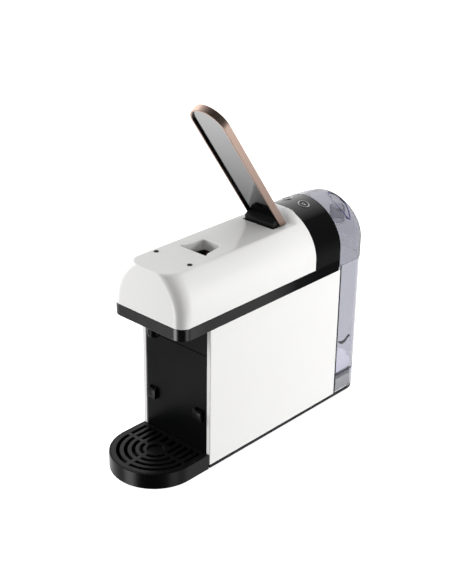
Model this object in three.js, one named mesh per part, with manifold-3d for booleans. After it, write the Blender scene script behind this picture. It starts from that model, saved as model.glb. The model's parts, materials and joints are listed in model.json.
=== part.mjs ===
// Pod coffee machine: slim single-serve brewer with a raised clamp lever, a clear rear tank and a D-shaped drip tray.
// Units are millimetres, +Z is up, the cup bay faces -Y and the tank is at +Y.
// Every piece is modelled at y measured from the front face of the column, and the whole group is then moved
// so that the origin is the centre of the bounding box on the surface the machine stands on.
import * as THREE from 'three';
import * as BufferGeometryUtils from 'three/addons/utils/BufferGeometryUtils.js';
import Module from 'manifold-3d';

const wasm = await Module();
wasm.setup();

// ---------------------------------------------------------------- driving dimensions
const GAP = 0.3;              // clearance kept between neighbouring pieces
const Y_CENTRE = 96.9;        // middle of the overall depth, measured from the column face

const BODY_HALF = 55.0;       // lower casing half width
const PANEL_T = 5.7;          // side panel thickness
const COLUMN_HALF = 48.7;     // black column half width
const BODY_REAR = 229.6;      // rear edge of the side panels
const BASE_Z0 = 1.5;          // underside of the base plate
const BASE_Z1 = 5.5;          // top of the base plate
const FOOT_H = 1.2;

const HEAD_HALF = 56.5;       // head half width
const HEAD_FRONT = -45.7;     // front face of the head
const TRIM_Z0 = 181.7;        // underside of the head
const TRIM_Z1 = 196.3;        // top of the black trim
const TRIM_R = 14.0;          // plan radius of the head's front corners
const BAND_Y0 = 178.9;        // front edge of the control band
const BAND_Y1 = 223.9;        // rear edge of the control band
const ARCH_Z = 209.9;         // height at which the side walls start to curve in
const ARCH_H = 54.35;         // rise of the arch above that
const ARCH_N = 1.88;          // superellipse exponent of the arch
const SHELL_T = 2.4;          // wall thickness of the head shell
const FLAT_Z = 252.4;         // level of the flat deck the lever closes on
const FLAT_FRONT = -43.0;     // front limit of the deck
const FLAT_R = 19.0;          // plan radius of the deck's front corners
const DECK_END = 163.0;       // where the deck ends and ramps up to the crest
const SLOT_Y0 = 27.0;         // capsule slot, front edge
const SLOT_Y1 = 60.0;         // capsule slot, rear edge
const SLOT_HALF_F = 20.4;     // half width at the flange end
const SLOT_HALF_R = 13.6;     // half width at the narrow end
const CHUTE_Z = 239.5;        // lower edge of the capsule chute

const HINGE_Y = 148.1;        // lever pivot
const HINGE_Z = 252.0;
const LEVER_OPEN = 54.9;      // degrees between closed and the modelled, raised lever
const LEVER_HALF = 24.6;      // lever half width
const LEVER_LEN = 193.2;      // from the pivot to the round tip
const LEVER_V0 = 1.1;         // underside above the pivot, lever closed
const LEVER_V1 = 10.3;        // top above the pivot, lever closed
const LEVER_WALL = 2.0;
const PANEL_V = 3.9;          // level of the mirror panel inside the lever
const PANEL_U = 10.8;         // where the panel begins, in front of the knuckle
const SADDLE_V = 6.5;         // top of the knuckle inside the lever
const YOKE_DROP = 28.9;       // vertical distance from the pivot to the tie-rod pins
const YOKE_TILT = 27.45;      // degrees either side of vertical that the crank ears swing

const TRAY_HALF = 54.0;       // drip tray half width, also the radius of its front
const TRAY_CY = -34.0;        // centre of that radius
const TRAY_H = 17.2;
const TRAY_TOP = 20.1;
const TRAY_WALL = 2.4;

const TANK_HALF = 55.4;       // tank half width below the lid
const TANK_REAR = 281.8;
const TANK_R = 24.0;          // plan radius of the rear corners
const TANK_FRONT = 230.2;
const TANK_WALL = 2.2;
const TANK_Z0 = 6.4;          // lower edge of the clear skirt
const TANK_FLOOR = 31.0;
const TANK_Z1 = 186.3;        // rim, where the lid begins
const LID_FRONT = 224.4;

const BUTTON_X = 13.3;
const BUTTON_Y = 204.0;
const BUTTON_R = 5.6;

// ---------------------------------------------------------------- helpers
const DEG = Math.PI / 180;

function solid(geometry) {
  const g = geometry.clone();
  g.deleteAttribute('normal');
  if (g.attributes.uv) g.deleteAttribute('uv');
  const m = BufferGeometryUtils.mergeVertices(g, 1e-4);
  return new wasm.Manifold(new wasm.Mesh({
    numProp: 3,
    vertProperties: new Float32Array(m.attributes.position.array),
    triVerts: new Uint32Array(m.index.array),
  }));
}

function geometryOf(manifold) {
  const mesh = manifold.getMesh();
  const g = new THREE.BufferGeometry();
  const n = mesh.numProp;
  const count = mesh.vertProperties.length / n;
  const pos = new Float32Array(count * 3);
  for (let i = 0; i < count; i++) {
    pos[3 * i] = mesh.vertProperties[n * i];
    pos[3 * i + 1] = mesh.vertProperties[n * i + 1];
    pos[3 * i + 2] = mesh.vertProperties[n * i + 2];
  }
  g.setAttribute('position', new THREE.BufferAttribute(pos, 3));
  g.setIndex(new THREE.BufferAttribute(new Uint32Array(mesh.triVerts), 1));
  g.computeVertexNormals();
  return g;
}

function boxGeo(x0, x1, y0, y1, z0, z1) {
  return new THREE.BoxGeometry(x1 - x0, y1 - y0, z1 - z0)
    .translate((x0 + x1) / 2, (y0 + y1) / 2, (z0 + z1) / 2);
}
const box = (...a) => solid(boxGeo(...a));

// cylinder between two points
function rodGeo(a, b, r, sides = 20) {
  const A = new THREE.Vector3(...a), B = new THREE.Vector3(...b);
  const d = B.clone().sub(A);
  const g = new THREE.CylinderGeometry(r, r, d.length(), sides);
  g.applyQuaternion(new THREE.Quaternion().setFromUnitVectors(new THREE.Vector3(0, 1, 0), d.clone().normalize()));
  const c = A.clone().add(B).multiplyScalar(0.5);
  return g.translate(c.x, c.y, c.z);
}
const rod = (a, b, r, s) => solid(rodGeo(a, b, r, s));

// plan outline (array of [x, y]) extruded from z0 to z1, with optional holes
function prismGeo(outline, z0, z1, holes = []) {
  const shape = new THREE.Shape(outline.map(p => new THREE.Vector2(p[0], p[1])));
  for (const h of holes) shape.holes.push(new THREE.Path(h.map(p => new THREE.Vector2(p[0], p[1]))));
  return new THREE.ExtrudeGeometry(shape, { depth: z1 - z0, bevelEnabled: false, curveSegments: 1 }).translate(0, 0, z0);
}
const prism = (...a) => solid(prismGeo(...a));

// side outline (array of [y, z]) extruded from x0 to x1
function sidePrism(outline, x0, x1) {
  const shape = new THREE.Shape(outline.map(p => new THREE.Vector2(p[0], p[1])));
  const g = new THREE.ExtrudeGeometry(shape, { depth: x1 - x0, bevelEnabled: false, curveSegments: 1 });
  g.applyMatrix4(new THREE.Matrix4().makeBasis(new THREE.Vector3(0, 1, 0), new THREE.Vector3(0, 0, 1), new THREE.Vector3(1, 0, 0)));
  return solid(g.translate(x0, 0, 0));
}

// closed body through a stack of convex rings, all with the same number of points
function loft(rings) {
  const n = rings[0].length, pos = [], idx = [];
  for (const r of rings) for (const p of r) pos.push(p[0], p[1], p[2]);
  for (let k = 0; k + 1 < rings.length; k++) {
    for (let i = 0; i < n; i++) {
      const j = (i + 1) % n, a = k * n + i, b = k * n + j, c = a + n, d = b + n;
      idx.push(a, b, d, a, d, c);
    }
  }
  const cap = (k, flip) => {
    const c = pos.length / 3, ring = rings[k], m = [0, 0, 0];
    for (const p of ring) for (let q = 0; q < 3; q++) m[q] += p[q] / n;
    pos.push(...m);
    for (let i = 0; i < n; i++) {
      const a = k * n + i, b = k * n + (i + 1) % n;
      if (flip) idx.push(c, b, a); else idx.push(c, a, b);
    }
  };
  cap(0, true);
  cap(rings.length - 1, false);
  const g = new THREE.BufferGeometry();
  g.setAttribute('position', new THREE.Float32BufferAttribute(pos, 3));
  g.setIndex(idx);
  let m = solid(g);
  if (m.volume() < 0) {
    const f = [];
    for (let i = 0; i < idx.length; i += 3) f.push(idx[i], idx[i + 2], idx[i + 1]);
    g.setIndex(f);
    m = solid(g);
  }
  return m;
}

function arc(cx, cy, r, a0, a1, n) {
  const out = [];
  for (let i = 0; i <= n; i++) {
    const a = (a0 + (a1 - a0) * i / n) * DEG;
    out.push([cx + r * Math.cos(a), cy + r * Math.sin(a)]);
  }
  return out;
}

// straight rear edge, two rounded front corners, counter-clockwise from above
function headOutline(w, yf, yr, r, n = 7) {
  r = Math.min(r, w - 0.6);
  return [
    [w, yr], [-w, yr],
    ...arc(-w + r, yf + r, r, 180, 270, n),
    ...arc(w - r, yf + r, r, 270, 360, n),
  ];
}

// straight front edge, two rounded rear corners
function tankOutline(w, yf, yr, r, n = 7) {
  return [
    [-w, yf], [w, yf],
    ...arc(w - r, yr - r, r, 0, 90, n),
    ...arc(-w + r, yr - r, r, 90, 180, n),
  ];
}

// half width of the head's arch at height z
function archHalf(z, half = HEAD_HALF, zv = ARCH_Z, h = ARCH_H) {
  if (z <= zv) return half;
  const t = Math.min((z - zv) / h, 0.9999);
  return half * Math.pow(1 - Math.pow(t, ARCH_N), 1 / ARCH_N);
}
const archZ = (x, half = HEAD_HALF) => ARCH_Z + ARCH_H * Math.pow(1 - Math.pow(Math.abs(x) / half, ARCH_N), 1 / ARCH_N);

const group = new THREE.Group();
group.position.set(0, -Y_CENTRE, 0);

function add(name, body, color, rough = 0.5, metal = 0, parent = group) {
  const geometry = body.getMesh ? geometryOf(body) : body;
  const mesh = new THREE.Mesh(geometry, new THREE.MeshStandardMaterial({ color, roughness: rough, metalness: metal }));
  mesh.name = name;
  parent.add(mesh);
  return mesh;
}

const WHITE = 0xf1f0ec, BLACK = 0x1b1b1c, GREY = 0x6d7073, COPPER = 0xc79a84, CLEAR = 0xc6c8d4;
const STEEL = 0xb9bcc0, ALU = 0xc8cacc, RUBBER = 0x141414, GREEN = 0x2d5b3a, BRASS = 0xb79b5b, SILICONE = 0xe3ddd0;

// ---------------------------------------------------------------- base, feet, screws
{
  let m = prism(tankOutline(BODY_HALF, 0.4, TANK_REAR - 0.4, TANK_R, 8), BASE_Z0, BASE_Z1);
  for (const [x, y] of [[-40, 122], [40, 122], [-40, 214], [40, 214]]) {
    m = m.subtract(rod([x, y, 0], [x, y, 8], 1.9, 14)).subtract(rod([x, y, 0], [x, y, 3.4], 3.6, 16));
  }
  add('base_plate', m, BLACK, 0.45);
}
for (const [name, x, y] of [['foot_front_left', -42, 16], ['foot_front_right', 42, 16], ['foot_rear_left', -30, 262], ['foot_rear_right', 30, 262]]) {
  const f = new THREE.CylinderGeometry(8, 7.4, FOOT_H, 20).rotateX(Math.PI / 2).translate(x, y, FOOT_H / 2);
  add(name, f, RUBBER, 0.9);
}
[[-40, 122], [40, 122], [-40, 214], [40, 214]].forEach(([x, y], i) => {
  const p = [[0, 1.9], [3.2, 1.9], [3.2, 3.1], [1.5, 3.1], [1.5, 13.5], [0, 14.3]].map(q => new THREE.Vector2(q[0], q[1]));
  const g = new THREE.LatheGeometry(p, 14).rotateX(Math.PI / 2).translate(x, y, 0);
  add(`base_screw_${i + 1}`, g, STEEL, 0.3, 1);
});

// ---------------------------------------------------------------- side panels
for (const [name, s] of [['side_panel_left', -1], ['side_panel_right', 1]]) {
  const x0 = s > 0 ? BODY_HALF - PANEL_T : -BODY_HALF, x1 = s > 0 ? BODY_HALF : -BODY_HALF + PANEL_T;
  let m = box(x0, x1, 0, BODY_REAR, BASE_Z1 + GAP, TRIM_Z0 - GAP);
  if (s < 0) m = m.subtract(rod([-60, 205, 20], [-40, 205, 20], 6.3, 24));
  add(name, m, WHITE, 0.35);
}
{
  // grommet that the supply lead enters through
  const p = [[2.2, -0.9], [5.6, -0.9], [5.9, 0.6], [5.9, 6.6], [7.6, 6.6], [7.6, 8.4], [2.2, 8.4], [2.2, -0.9]]
    .map(q => new THREE.Vector2(q[0], q[1]));
  const g = new THREE.LatheGeometry(p, 24).rotateZ(-Math.PI / 2).translate(-BODY_HALF, 205, 20);
  add('cord_gland', g, RUBBER, 0.8);
}

// ---------------------------------------------------------------- chassis inside the casing
const BULK_Y = 108;
{
  const h = COLUMN_HALF;
  let m = box(-h, h, BULK_Y, 229.2, BASE_Z1 + GAP, 8.4)
    .add(box(-h, h, 225.6, 229.2, BASE_Z1 + GAP, TRIM_Z0 - GAP))
    .add(box(-h, h, BULK_Y, BULK_Y + 3, BASE_Z1 + GAP, TRIM_Z0 - GAP))
    .add(box(-h, h, 4.2, 229.2, 177.2, TRIM_Z0 - GAP))
    .subtract(box(-21, 21, 22, 64, 170, 190))
    .subtract(rod([30, 150, 170], [30, 150, 190], 7, 18));
  for (const [x, y] of [[-40, 122], [40, 122], [-40, 214], [40, 214]]) {
    m = m.add(rod([x, y, 8], [x, y, 17], 4, 16)).subtract(rod([x, y, 0], [x, y, 15.2], 1.85, 14));
  }
  m = m.subtract(rod([0, 220, 20], [0, 235, 20], 4.3, 18));
  add('chassis', m, 0x2a2a2c, 0.6);
}

// ---------------------------------------------------------------- column front: fascia and used-capsule bin
add('front_fascia', box(-COLUMN_HALF, COLUMN_HALF, 0.6, 3.9, 146.4, TRIM_Z0 - GAP), 0x262627, 0.4);
{
  const h = COLUMN_HALF - 0.2, z0 = BASE_Z1 + 0.6, z1 = 145.7, y1 = 104;
  let m = box(-h, h, 0.6, y1, z0, z1).subtract(box(-h + 2.2, h - 2.2, 4.0, y1 - 2.2, z0 + 2.4, z1 + 5));
  for (const s of [-1, 1]) {
    const a = s > 0 ? 31 : -43.5, b = s > 0 ? 43.5 : -31;
    m = m.add(sidePrism([[1.2, 60], [1.2, 74.5], [-1.6, 74.5], [-4.8, 72.5], [-4.8, 61.5], [-3.6, 60]], a, b));
    m = m.subtract(sidePrism([[-3.0, 66.5], [0.5, 66.5], [0.5, 80], [-3.0, 80]], a + 2, b - 2));
  }
  add('capsule_bin', m, 0x29292b, 0.42);
}

// ---------------------------------------------------------------- head: trim tray, and the control band that stands on it
{
  const o = headOutline(HEAD_HALF, HEAD_FRONT, BAND_Y1, TRIM_R, 9);
  const i = headOutline(HEAD_HALF - SHELL_T, HEAD_FRONT + SHELL_T, BAND_Y1 - SHELL_T, TRIM_R - SHELL_T, 9);
  let m = prism(o, TRIM_Z0, TRIM_Z1).subtract(prism(i, TRIM_Z0 + 3, TRIM_Z1 + 5));
  m = m.subtract(rod([0, -33, 170], [0, -33, 190], 6.4, 24));
  m = m.subtract(box(-21, 21, 22, 64, 170, 190));
  m = m.subtract(rod([30, 150, 170], [30, 150, 190], 7, 18));
  add('head_trim', m, 0x121213, 0.22);
}
{
  const levels = [TRIM_Z1 + GAP, 203, ARCH_Z, 216, 222, 228, 234, 239.5, 244.5, 249, 253, 256.4, 259.2, 261.4, 262.9, 263.8, 264.15];
  const rect = (z, half, y0, y1) => [[half, y1, z], [-half, y1, z], [-half, y0, z], [half, y0, z]];
  const outer = loft(levels.map(z => rect(z, archHalf(z), BAND_Y0, BAND_Y1)));
  const t = SHELL_T;
  const inner = loft([TRIM_Z1 - 8, 203, ARCH_Z, 216, 222, 228, 234, 239.5, 244.5, 249, 252.6, 255.6, 258, 259.9, 261.1, 261.7]
    .map(z => rect(z, archHalf(z, HEAD_HALF - t, ARCH_Z, ARCH_H - t), BAND_Y0 - 5, BAND_Y1 - t)));
  let m = outer.subtract(inner);
  for (const s of [-1, 1]) {
    const a = Math.atan(0.278) * s, z = archZ(BUTTON_X);
    const n = [Math.sin(a), 0, Math.cos(a)];
    m = m.subtract(rod([s * BUTTON_X - 12 * n[0], BUTTON_Y, z - 12 * n[2]], [s * BUTTON_X + 6 * n[0], BUTTON_Y, z + 6 * n[2]], 7.4, 28));
  }
  add('control_band', m, 0x121213, 0.22);
}

// ---------------------------------------------------------------- top shell with the capsule chute
{
  const zs = [TRIM_Z1 + GAP, 203, ARCH_Z, 214, 218.5, 223, 227.5, 232, 236, 240, 243.5, 247, 250, FLAT_Z, 255, 257.4, 259.6, 261.4, 262.8, 263.7, 264.15];
  const ring = (z, off) => {
    const k = Math.min(1, Math.max(0, (z - TRIM_Z1) / (FLAT_Z - TRIM_Z1)));
    const half = archHalf(z, HEAD_HALF - off, ARCH_Z, ARCH_H - off);
    const yf = HEAD_FRONT + (FLAT_FRONT - HEAD_FRONT) * k + off;
    const r = TRIM_R + (FLAT_R - TRIM_R) * k;
    return headOutline(half, yf, off ? BAND_Y0 + 5 : BAND_Y0 - GAP, r, 8).map(p => [p[0], p[1], z]);
  };
  let outer = loft(zs.map(z => ring(z, 0)));
  outer = outer.subtract(sidePrism([[-80, FLAT_Z], [DECK_END, FLAT_Z], [DECK_END + 12.5, 265], [DECK_END + 12.5, 290], [-80, 290]], -80, 80));
  const t = SHELL_T;
  let inner = loft([TRIM_Z1 - 4, 203, ARCH_Z, 214, 218.5, 223, 227.5, 232, 236, 240, 243.5, 247, 249.6, 252, 254.5, 257, 259, 260.6, 261.6].map(z => ring(z, t)));
  inner = inner.subtract(sidePrism([[-80, FLAT_Z - t], [DECK_END + 1, FLAT_Z - t], [DECK_END + 14.5, 264], [DECK_END + 14.5, 290], [-80, 290]], -80, 80));
  let m = outer.subtract(inner);
  const slot = (e, y0 = SLOT_Y0, y1 = SLOT_Y1) => [
    [-SLOT_HALF_F - e, y0 - e], [SLOT_HALF_F + e, y0 - e], [SLOT_HALF_F + e, y0 + 2.2],
    [SLOT_HALF_F - 2.4 + e, y0 + 3.6],
    ...arc(SLOT_HALF_R - 5 + e, y1 - 5 + e, 5, 8, 90, 4),
    ...arc(-SLOT_HALF_R + 5 - e, y1 - 5 + e, 5, 90, 172, 4),
    [-SLOT_HALF_F + 2.4 - e, y0 + 3.6], [-SLOT_HALF_F - e, y0 + 2.2],
  ];
  m = m.add(prism(slot(1.8), CHUTE_Z, FLAT_Z - 0.5)).subtract(prism(slot(0), CHUTE_Z - 5, FLAT_Z + 5));
  m = m.subtract(box(-24, 24, 136.1, 158.4, 240, FLAT_Z + 5));
  for (const s of [-1, 1]) m = m.subtract(rod([s * 26.2, -3.4, 245], [s * 26.2, -3.4, 260], 1.9, 16));
  add('top_shell', m, WHITE, 0.25);
}
for (const [name, s] of [['deck_pad_left', -1], ['deck_pad_right', 1]]) {
  const p = [[0, FLAT_Z - 3.4], [1.5, FLAT_Z - 3.4], [1.5, FLAT_Z + 0.3], [2.9, FLAT_Z + 0.3], [2.6, FLAT_Z + 0.62], [0, FLAT_Z + 0.66]]
    .map(q => new THREE.Vector2(q[0], q[1]));
  add(name, new THREE.LatheGeometry(p, 20).rotateX(Math.PI / 2).scale(1, 1, 1).translate(s * 26.2, -3.4, 0), RUBBER, 0.8);
}

// ---------------------------------------------------------------- lever, modelled closed about its pivot and then raised
const lever = new THREE.Group();
lever.position.set(0, HINGE_Y, HINGE_Z);
lever.rotation.x = -LEVER_OPEN * DEG;
group.add(lever);
const bar = (half, u0, u1, n = 18) => [   // outline in x, y = -u, counter-clockwise
  [half, -u0], [-half, -u0], ...arc(0, -(u1 - half), half, 180, 360, n),
];
// the lever's foot is cut level with the deck when the lever is raised
const footCut = (d) => sidePrism([[-0.7 + d * 1.2, LEVER_V0 - 6 - d], [30, LEVER_V0 - 6 - d], [30, 30], [6.1 + 13.2 + d, 30], [-0.7 - 4.05 + 4.0 + d * 1.2, LEVER_V0]], -60, 60);
{
  let m = prism(bar(LEVER_HALF, -10, LEVER_LEN), LEVER_V0, LEVER_V1)
    .subtract(prism(bar(LEVER_HALF - LEVER_WALL, -20, LEVER_LEN - LEVER_WALL), LEVER_V0 - 1, LEVER_V1 + 1));
  m = m.add(box(-LEVER_HALF, LEVER_HALF, 2.2, 4.6, SADDLE_V + 0.7, LEVER_V1));
  m = m.subtract(footCut(0));
  add('lever_frame', m, COPPER, 0.25, 1, lever);
}
{
  const h = LEVER_HALF - LEVER_WALL - GAP, e = LEVER_LEN - LEVER_WALL - GAP;
  add('lever_cover', prism(bar(h, 1.0, e), SADDLE_V + 0.6, LEVER_V1 - 0.1)
    .add(prism(bar(h, PANEL_U, e), PANEL_V + 1.3, LEVER_V1 - 0.2)), 0x0e0e0f, 0.15, 0, lever);
  add('lever_mirror_panel', prism(bar(h, PANEL_U, e), PANEL_V, PANEL_V + 1.0), 0x9b9fa2, 0.08, 1, lever);
}
{
  const h = 22.2;
  let m = sidePrism([[-10.5, SADDLE_V], [5.0, SADDLE_V], [4.6, 5.8], [-5.1, -8.0], [-10.5, -4.5]].reverse(), -h, h);
  for (const s of [-1, 1]) {
    const a = s > 0 ? 8.4 : -h, b = s > 0 ? h : -8.4;
    m = m.add(rod([a, 0, 0], [b, 0, 0], 5.2, 24));
    const e0 = s > 0 ? 18.4 : -h, e1 = s > 0 ? h : -18.4;
    // crank ear pointing down and back when the lever is closed
    const c = Math.cos(YOKE_TILT * DEG), q = Math.sin(YOKE_TILT * DEG);
    const P = (rad, side) => [rad * q + side * c, -rad * c + side * q];
    let ear = sidePrism([P(0, -5), P(0, 5), P(37.5, 6.2), P(39.5, 3), P(39.5, -3), P(37.5, -6.2)], e0, e1);
    ear = ear.subtract(sidePrism([P(25.6, -3.2), P(25.6, 3.2), P(35.6, 3.2), P(35.6, -3.2)], e0 - 1, e1 + 1));
    m = m.add(ear);
  }
  m = m.subtract(rod([-30, 0, 0], [30, 0, 0], 2.3, 20));
  m = m.subtract(rod([-8.4, 0, 0], [8.4, 0, 0], 5.6, 24));
  // room for the bracket's post as the lever closes
  const post = sidePrism([[-5.2, 0.3], [-5.2, -30], [5.2, -30], [5.2, 0.3]], -8.4, 8.4);
  for (const deg of [0, 14, 28, 42, 55]) m = m.subtract(post.rotate([deg - 0, 0, 0]));
  add('lever_knuckle', m, 0x141415, 0.35, 0, lever);
}

// ---------------------------------------------------------------- pivot
add('hinge_pin', rodGeo([-21.8, HINGE_Y, HINGE_Z], [21.8, HINGE_Y, HINGE_Z], 2.0, 18), STEEL, 0.3, 1);
{
  let m = box(-7.8, 7.8, HINGE_Y - 4.8, HINGE_Y + 4.8, 190, HINGE_Z)
    .add(rod([-7.8, HINGE_Y, HINGE_Z], [7.8, HINGE_Y, HINGE_Z], 4.8, 20))
    .add(box(-14, 14, HINGE_Y - 10, HINGE_Y + 10, TRIM_Z0 + 3 + GAP, 191))
    .subtract(rod([-9, HINGE_Y, HINGE_Z], [9, HINGE_Y, HINGE_Z], 2.3, 20));
  add('hinge_bracket', m, 0x3a3b3d, 0.5);
}

// ---------------------------------------------------------------- capsule press: plate pulled back by two rods
const AXIS_Z = HINGE_Z - YOKE_DROP;       // capsule axis height
{
  let m = box(-23.9, 23.9, 17, 22, 204.5, 238.6).add(rod([0, 21, AXIS_Z], [0, 24.2, AXIS_Z], 14.5, 28))
    .subtract(rod([0, 19.5, AXIS_Z], [0, 30, AXIS_Z], 10.5, 24)).subtract(rod([0, 15, 208.2], [0, 30, 208.2], 1.6, 12));
  m = m.subtract(rod([0, 14, AXIS_Z], [0, 20, AXIS_Z], 3, 14));
  add('press_plate', m, 0x4a4c4e, 0.45);
}
for (const [name, s] of [['tie_rod_left', -1], ['tie_rod_right', 1]]) {
  const yPin = HINGE_Y - YOKE_DROP * Math.tan(YOKE_TILT * DEG);
  const x0 = s > 0 ? 24.2 : -28.0, x1 = s > 0 ? 28.0 : -24.2;
  let m = box(x0, x1, 17, yPin + 5, AXIS_Z - 3.2, AXIS_Z + 3.2)
    .add(rod([s * 19.2, yPin, AXIS_Z], [s * 25, yPin, AXIS_Z], 2.4, 18));
  add(name, m, STEEL, 0.35, 1);
}
{
  const p = [[0, 29.5], [2.0, 29.5], [12.3, 29.5], [15.9, 0], [19.3, 0], [19.3, 5], [16.2, 33], [6.2, 33], [6.2, 41], [0, 41]]
    .map(q => new THREE.Vector2(q[0], q[1]));
  const prof = [...p].reverse();
  let cup = solid(new THREE.LatheGeometry(prof, 32).translate(0, 63.6, AXIS_Z));
  if (cup.volume() < 0) cup = solid(new THREE.LatheGeometry(p, 32).translate(0, 63.6, AXIS_Z));
  cup = cup.add(box(-23.4, 23.4, 66, 94, TRIM_Z0 + 3 + GAP, 209).subtract(rod([0, 60, AXIS_Z], [0, 100, AXIS_Z], 15.8, 28)));
  cup = cup.subtract(rod([0, 85, AXIS_Z], [0, 110, AXIS_Z], 1.6, 12));
  add('brew_cup', cup, 0x55585b, 0.4);
}
{
  const t = new THREE.TorusGeometry(17.5, 0.55, 5, 24).rotateX(Math.PI / 2).translate(0, 62.7, AXIS_Z);
  add('cup_seal', t, 0x8a2b22, 0.7);
}

// ---------------------------------------------------------------- coffee path out of the head
{
  let m = box(-17, 17, -42, 16, TRIM_Z0 + 3 + GAP, 200).subtract(box(-15, 15, -40, 20, 187.4, 205))
    .subtract(rod([0, -33, 180], [0, -33, 190], 4.4, 20));
  add('outlet_funnel', m, 0x2c2d2f, 0.5);
}
{
  const p = [[3.6, 168.0], [6.6, 168.0], [8.0, 171], [8.3, 179.4], [9.6, 179.4], [9.6, 181.4], [6.0, 181.4], [6.0, 184.6], [3.6, 184.6], [3.6, 168.0]]
    .map(q => new THREE.Vector2(q[0], q[1]));
  add('spout', new THREE.LatheGeometry(p, 28).rotateX(Math.PI / 2).translate(0, -33, 0), 0x161617, 0.3);
}

// ---------------------------------------------------------------- controls
for (const [side, s] of [['left', -1], ['right', 1]]) {
  const g = new THREE.Group();
  g.position.set(s * BUTTON_X, BUTTON_Y, archZ(BUTTON_X));
  g.rotation.y = Math.atan(0.278) * s;
  group.add(g);
  const up = (geo) => geo.rotateX(Math.PI / 2);
  const ring = [[6.0, -2.2], [7.1, -2.2], [7.1, 0.25], [6.75, 0.55], [6.0, 0.35], [6.0, -2.2]].map(q => new THREE.Vector2(q[0], q[1]));
  add(`button_ring_${side}`, up(new THREE.LatheGeometry(ring, 28)), STEEL, 0.25, 1, g);
  const cap = [[0, -4.6], [2.2, -4.6], [2.2, -3.2], [BUTTON_R, -3.2], [BUTTON_R, 0.1], [5.0, 0.42], [0, 0.5]].map(q => new THREE.Vector2(q[0], q[1]));
  add(`button_${side}`, up(new THREE.LatheGeometry(cap, 28)), 0x0f0f10, 0.2, 0, g);
  const pts = [];
  for (let i = 0; i <= 32; i++) { const a = i / 32 * 4 * 2 * Math.PI; pts.push(new THREE.Vector3(3.3 * Math.cos(a), 3.3 * Math.sin(a), -10.2 + i / 32 * 6.1)); }
  const sec = new THREE.Shape(arc(0, 0, 0.35, 0, 270, 3).map(q => new THREE.Vector2(q[0], q[1])));
  add(`button_spring_${side}`, new THREE.ExtrudeGeometry(sec, { steps: 32, bevelEnabled: false, extrudePath: new THREE.CatmullRomCurve3(pts) }), STEEL, 0.3, 1, g);
}
add('control_board', box(-28, 28, 186, 218, 246.6, 248.2), GREEN, 0.5);

// ---------------------------------------------------------------- water circuit
{
  let m = rod([-24, 168, 34], [-24, 168, 92], 17, 24).add(rod([-24, 168, 20], [-24, 168, 36], 5, 16))
    .add(rod([-24, 168, 90], [-24, 168, 106], 6.5, 16)).add(box(-43, -5, 154, 182, 44, 82));
  add('pump', m, GREY, 0.45);
  for (const [name, z] of [['pump_mount_lower', 26], ['pump_mount_upper', 97]]) {
    const r = name.endsWith('lower') ? 5.3 : 6.8;
    const w = new THREE.LatheGeometry([[r, -4], [13, -4], [13, 4], [r, 4], [r, -4]].map(q => new THREE.Vector2(q[0], q[1])), 20)
      .rotateX(Math.PI / 2).translate(-24, 168, z);
    add(name, w, RUBBER, 0.9);
  }
}
add('flow_meter', rod([-24, 206, 14], [-24, 206, 26], 11, 20).add(rod([-24, 206, 20], [-8, 206, 20], 2.6, 12)), 0xd8d8d4, 0.5);
{
  let m = box(2, 44, 128, 196, 84, 128);
  for (let i = 0; i < 5; i++) m = m.subtract(box(1, 45, 136 + i * 12, 140 + i * 12, 120, 130));
  add('thermoblock', m, ALU, 0.4, 1);
}
add('thermostat', rod([22, 162, 75.5], [22, 162, 83.7], 7.5, 20).add(rod([22, 162, 66], [22, 162, 76], 1.4, 10)), BRASS, 0.4, 1);
add('main_board', box(-47.6, -46, 116, 200, 110, 170), GREEN, 0.5);
function hose(name, pts, r = 2.6) {
  const curve = new THREE.CatmullRomCurve3(pts.map(p => new THREE.Vector3(...p)), false, 'centripetal');
  const sec = new THREE.Shape(arc(0, 0, r, 0, 315, 7).map(q => new THREE.Vector2(q[0], q[1])));
  const steps = Math.max(10, Math.round(curve.getLength() / 8));
  add(name, new THREE.ExtrudeGeometry(sec, { steps, bevelEnabled: false, extrudePath: curve }), SILICONE, 0.4);
}
hose('hose_tank_to_meter', [[0, 224.8, 20], [0, 218, 20], [-4.5, 210, 20], [-4.5, 206, 20.0]], 2.2);
hose('hose_pump_to_boiler', [[-24, 168, 106.5], [-24, 168, 113], [-21, 167, 119], [-14, 164, 122], [-6, 162, 122], [1.5, 162, 122]], 2.4);
hose('hose_boiler_to_cup', [[30, 150, 128.5], [30, 150, 150], [30, 150, 178], [29.5, 148.5, 190], [24, 140, 198], [13, 128, 204], [4, 118, 214], [0, 111, 222], [0, 105.1, 223.1]], 2.4);

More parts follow.
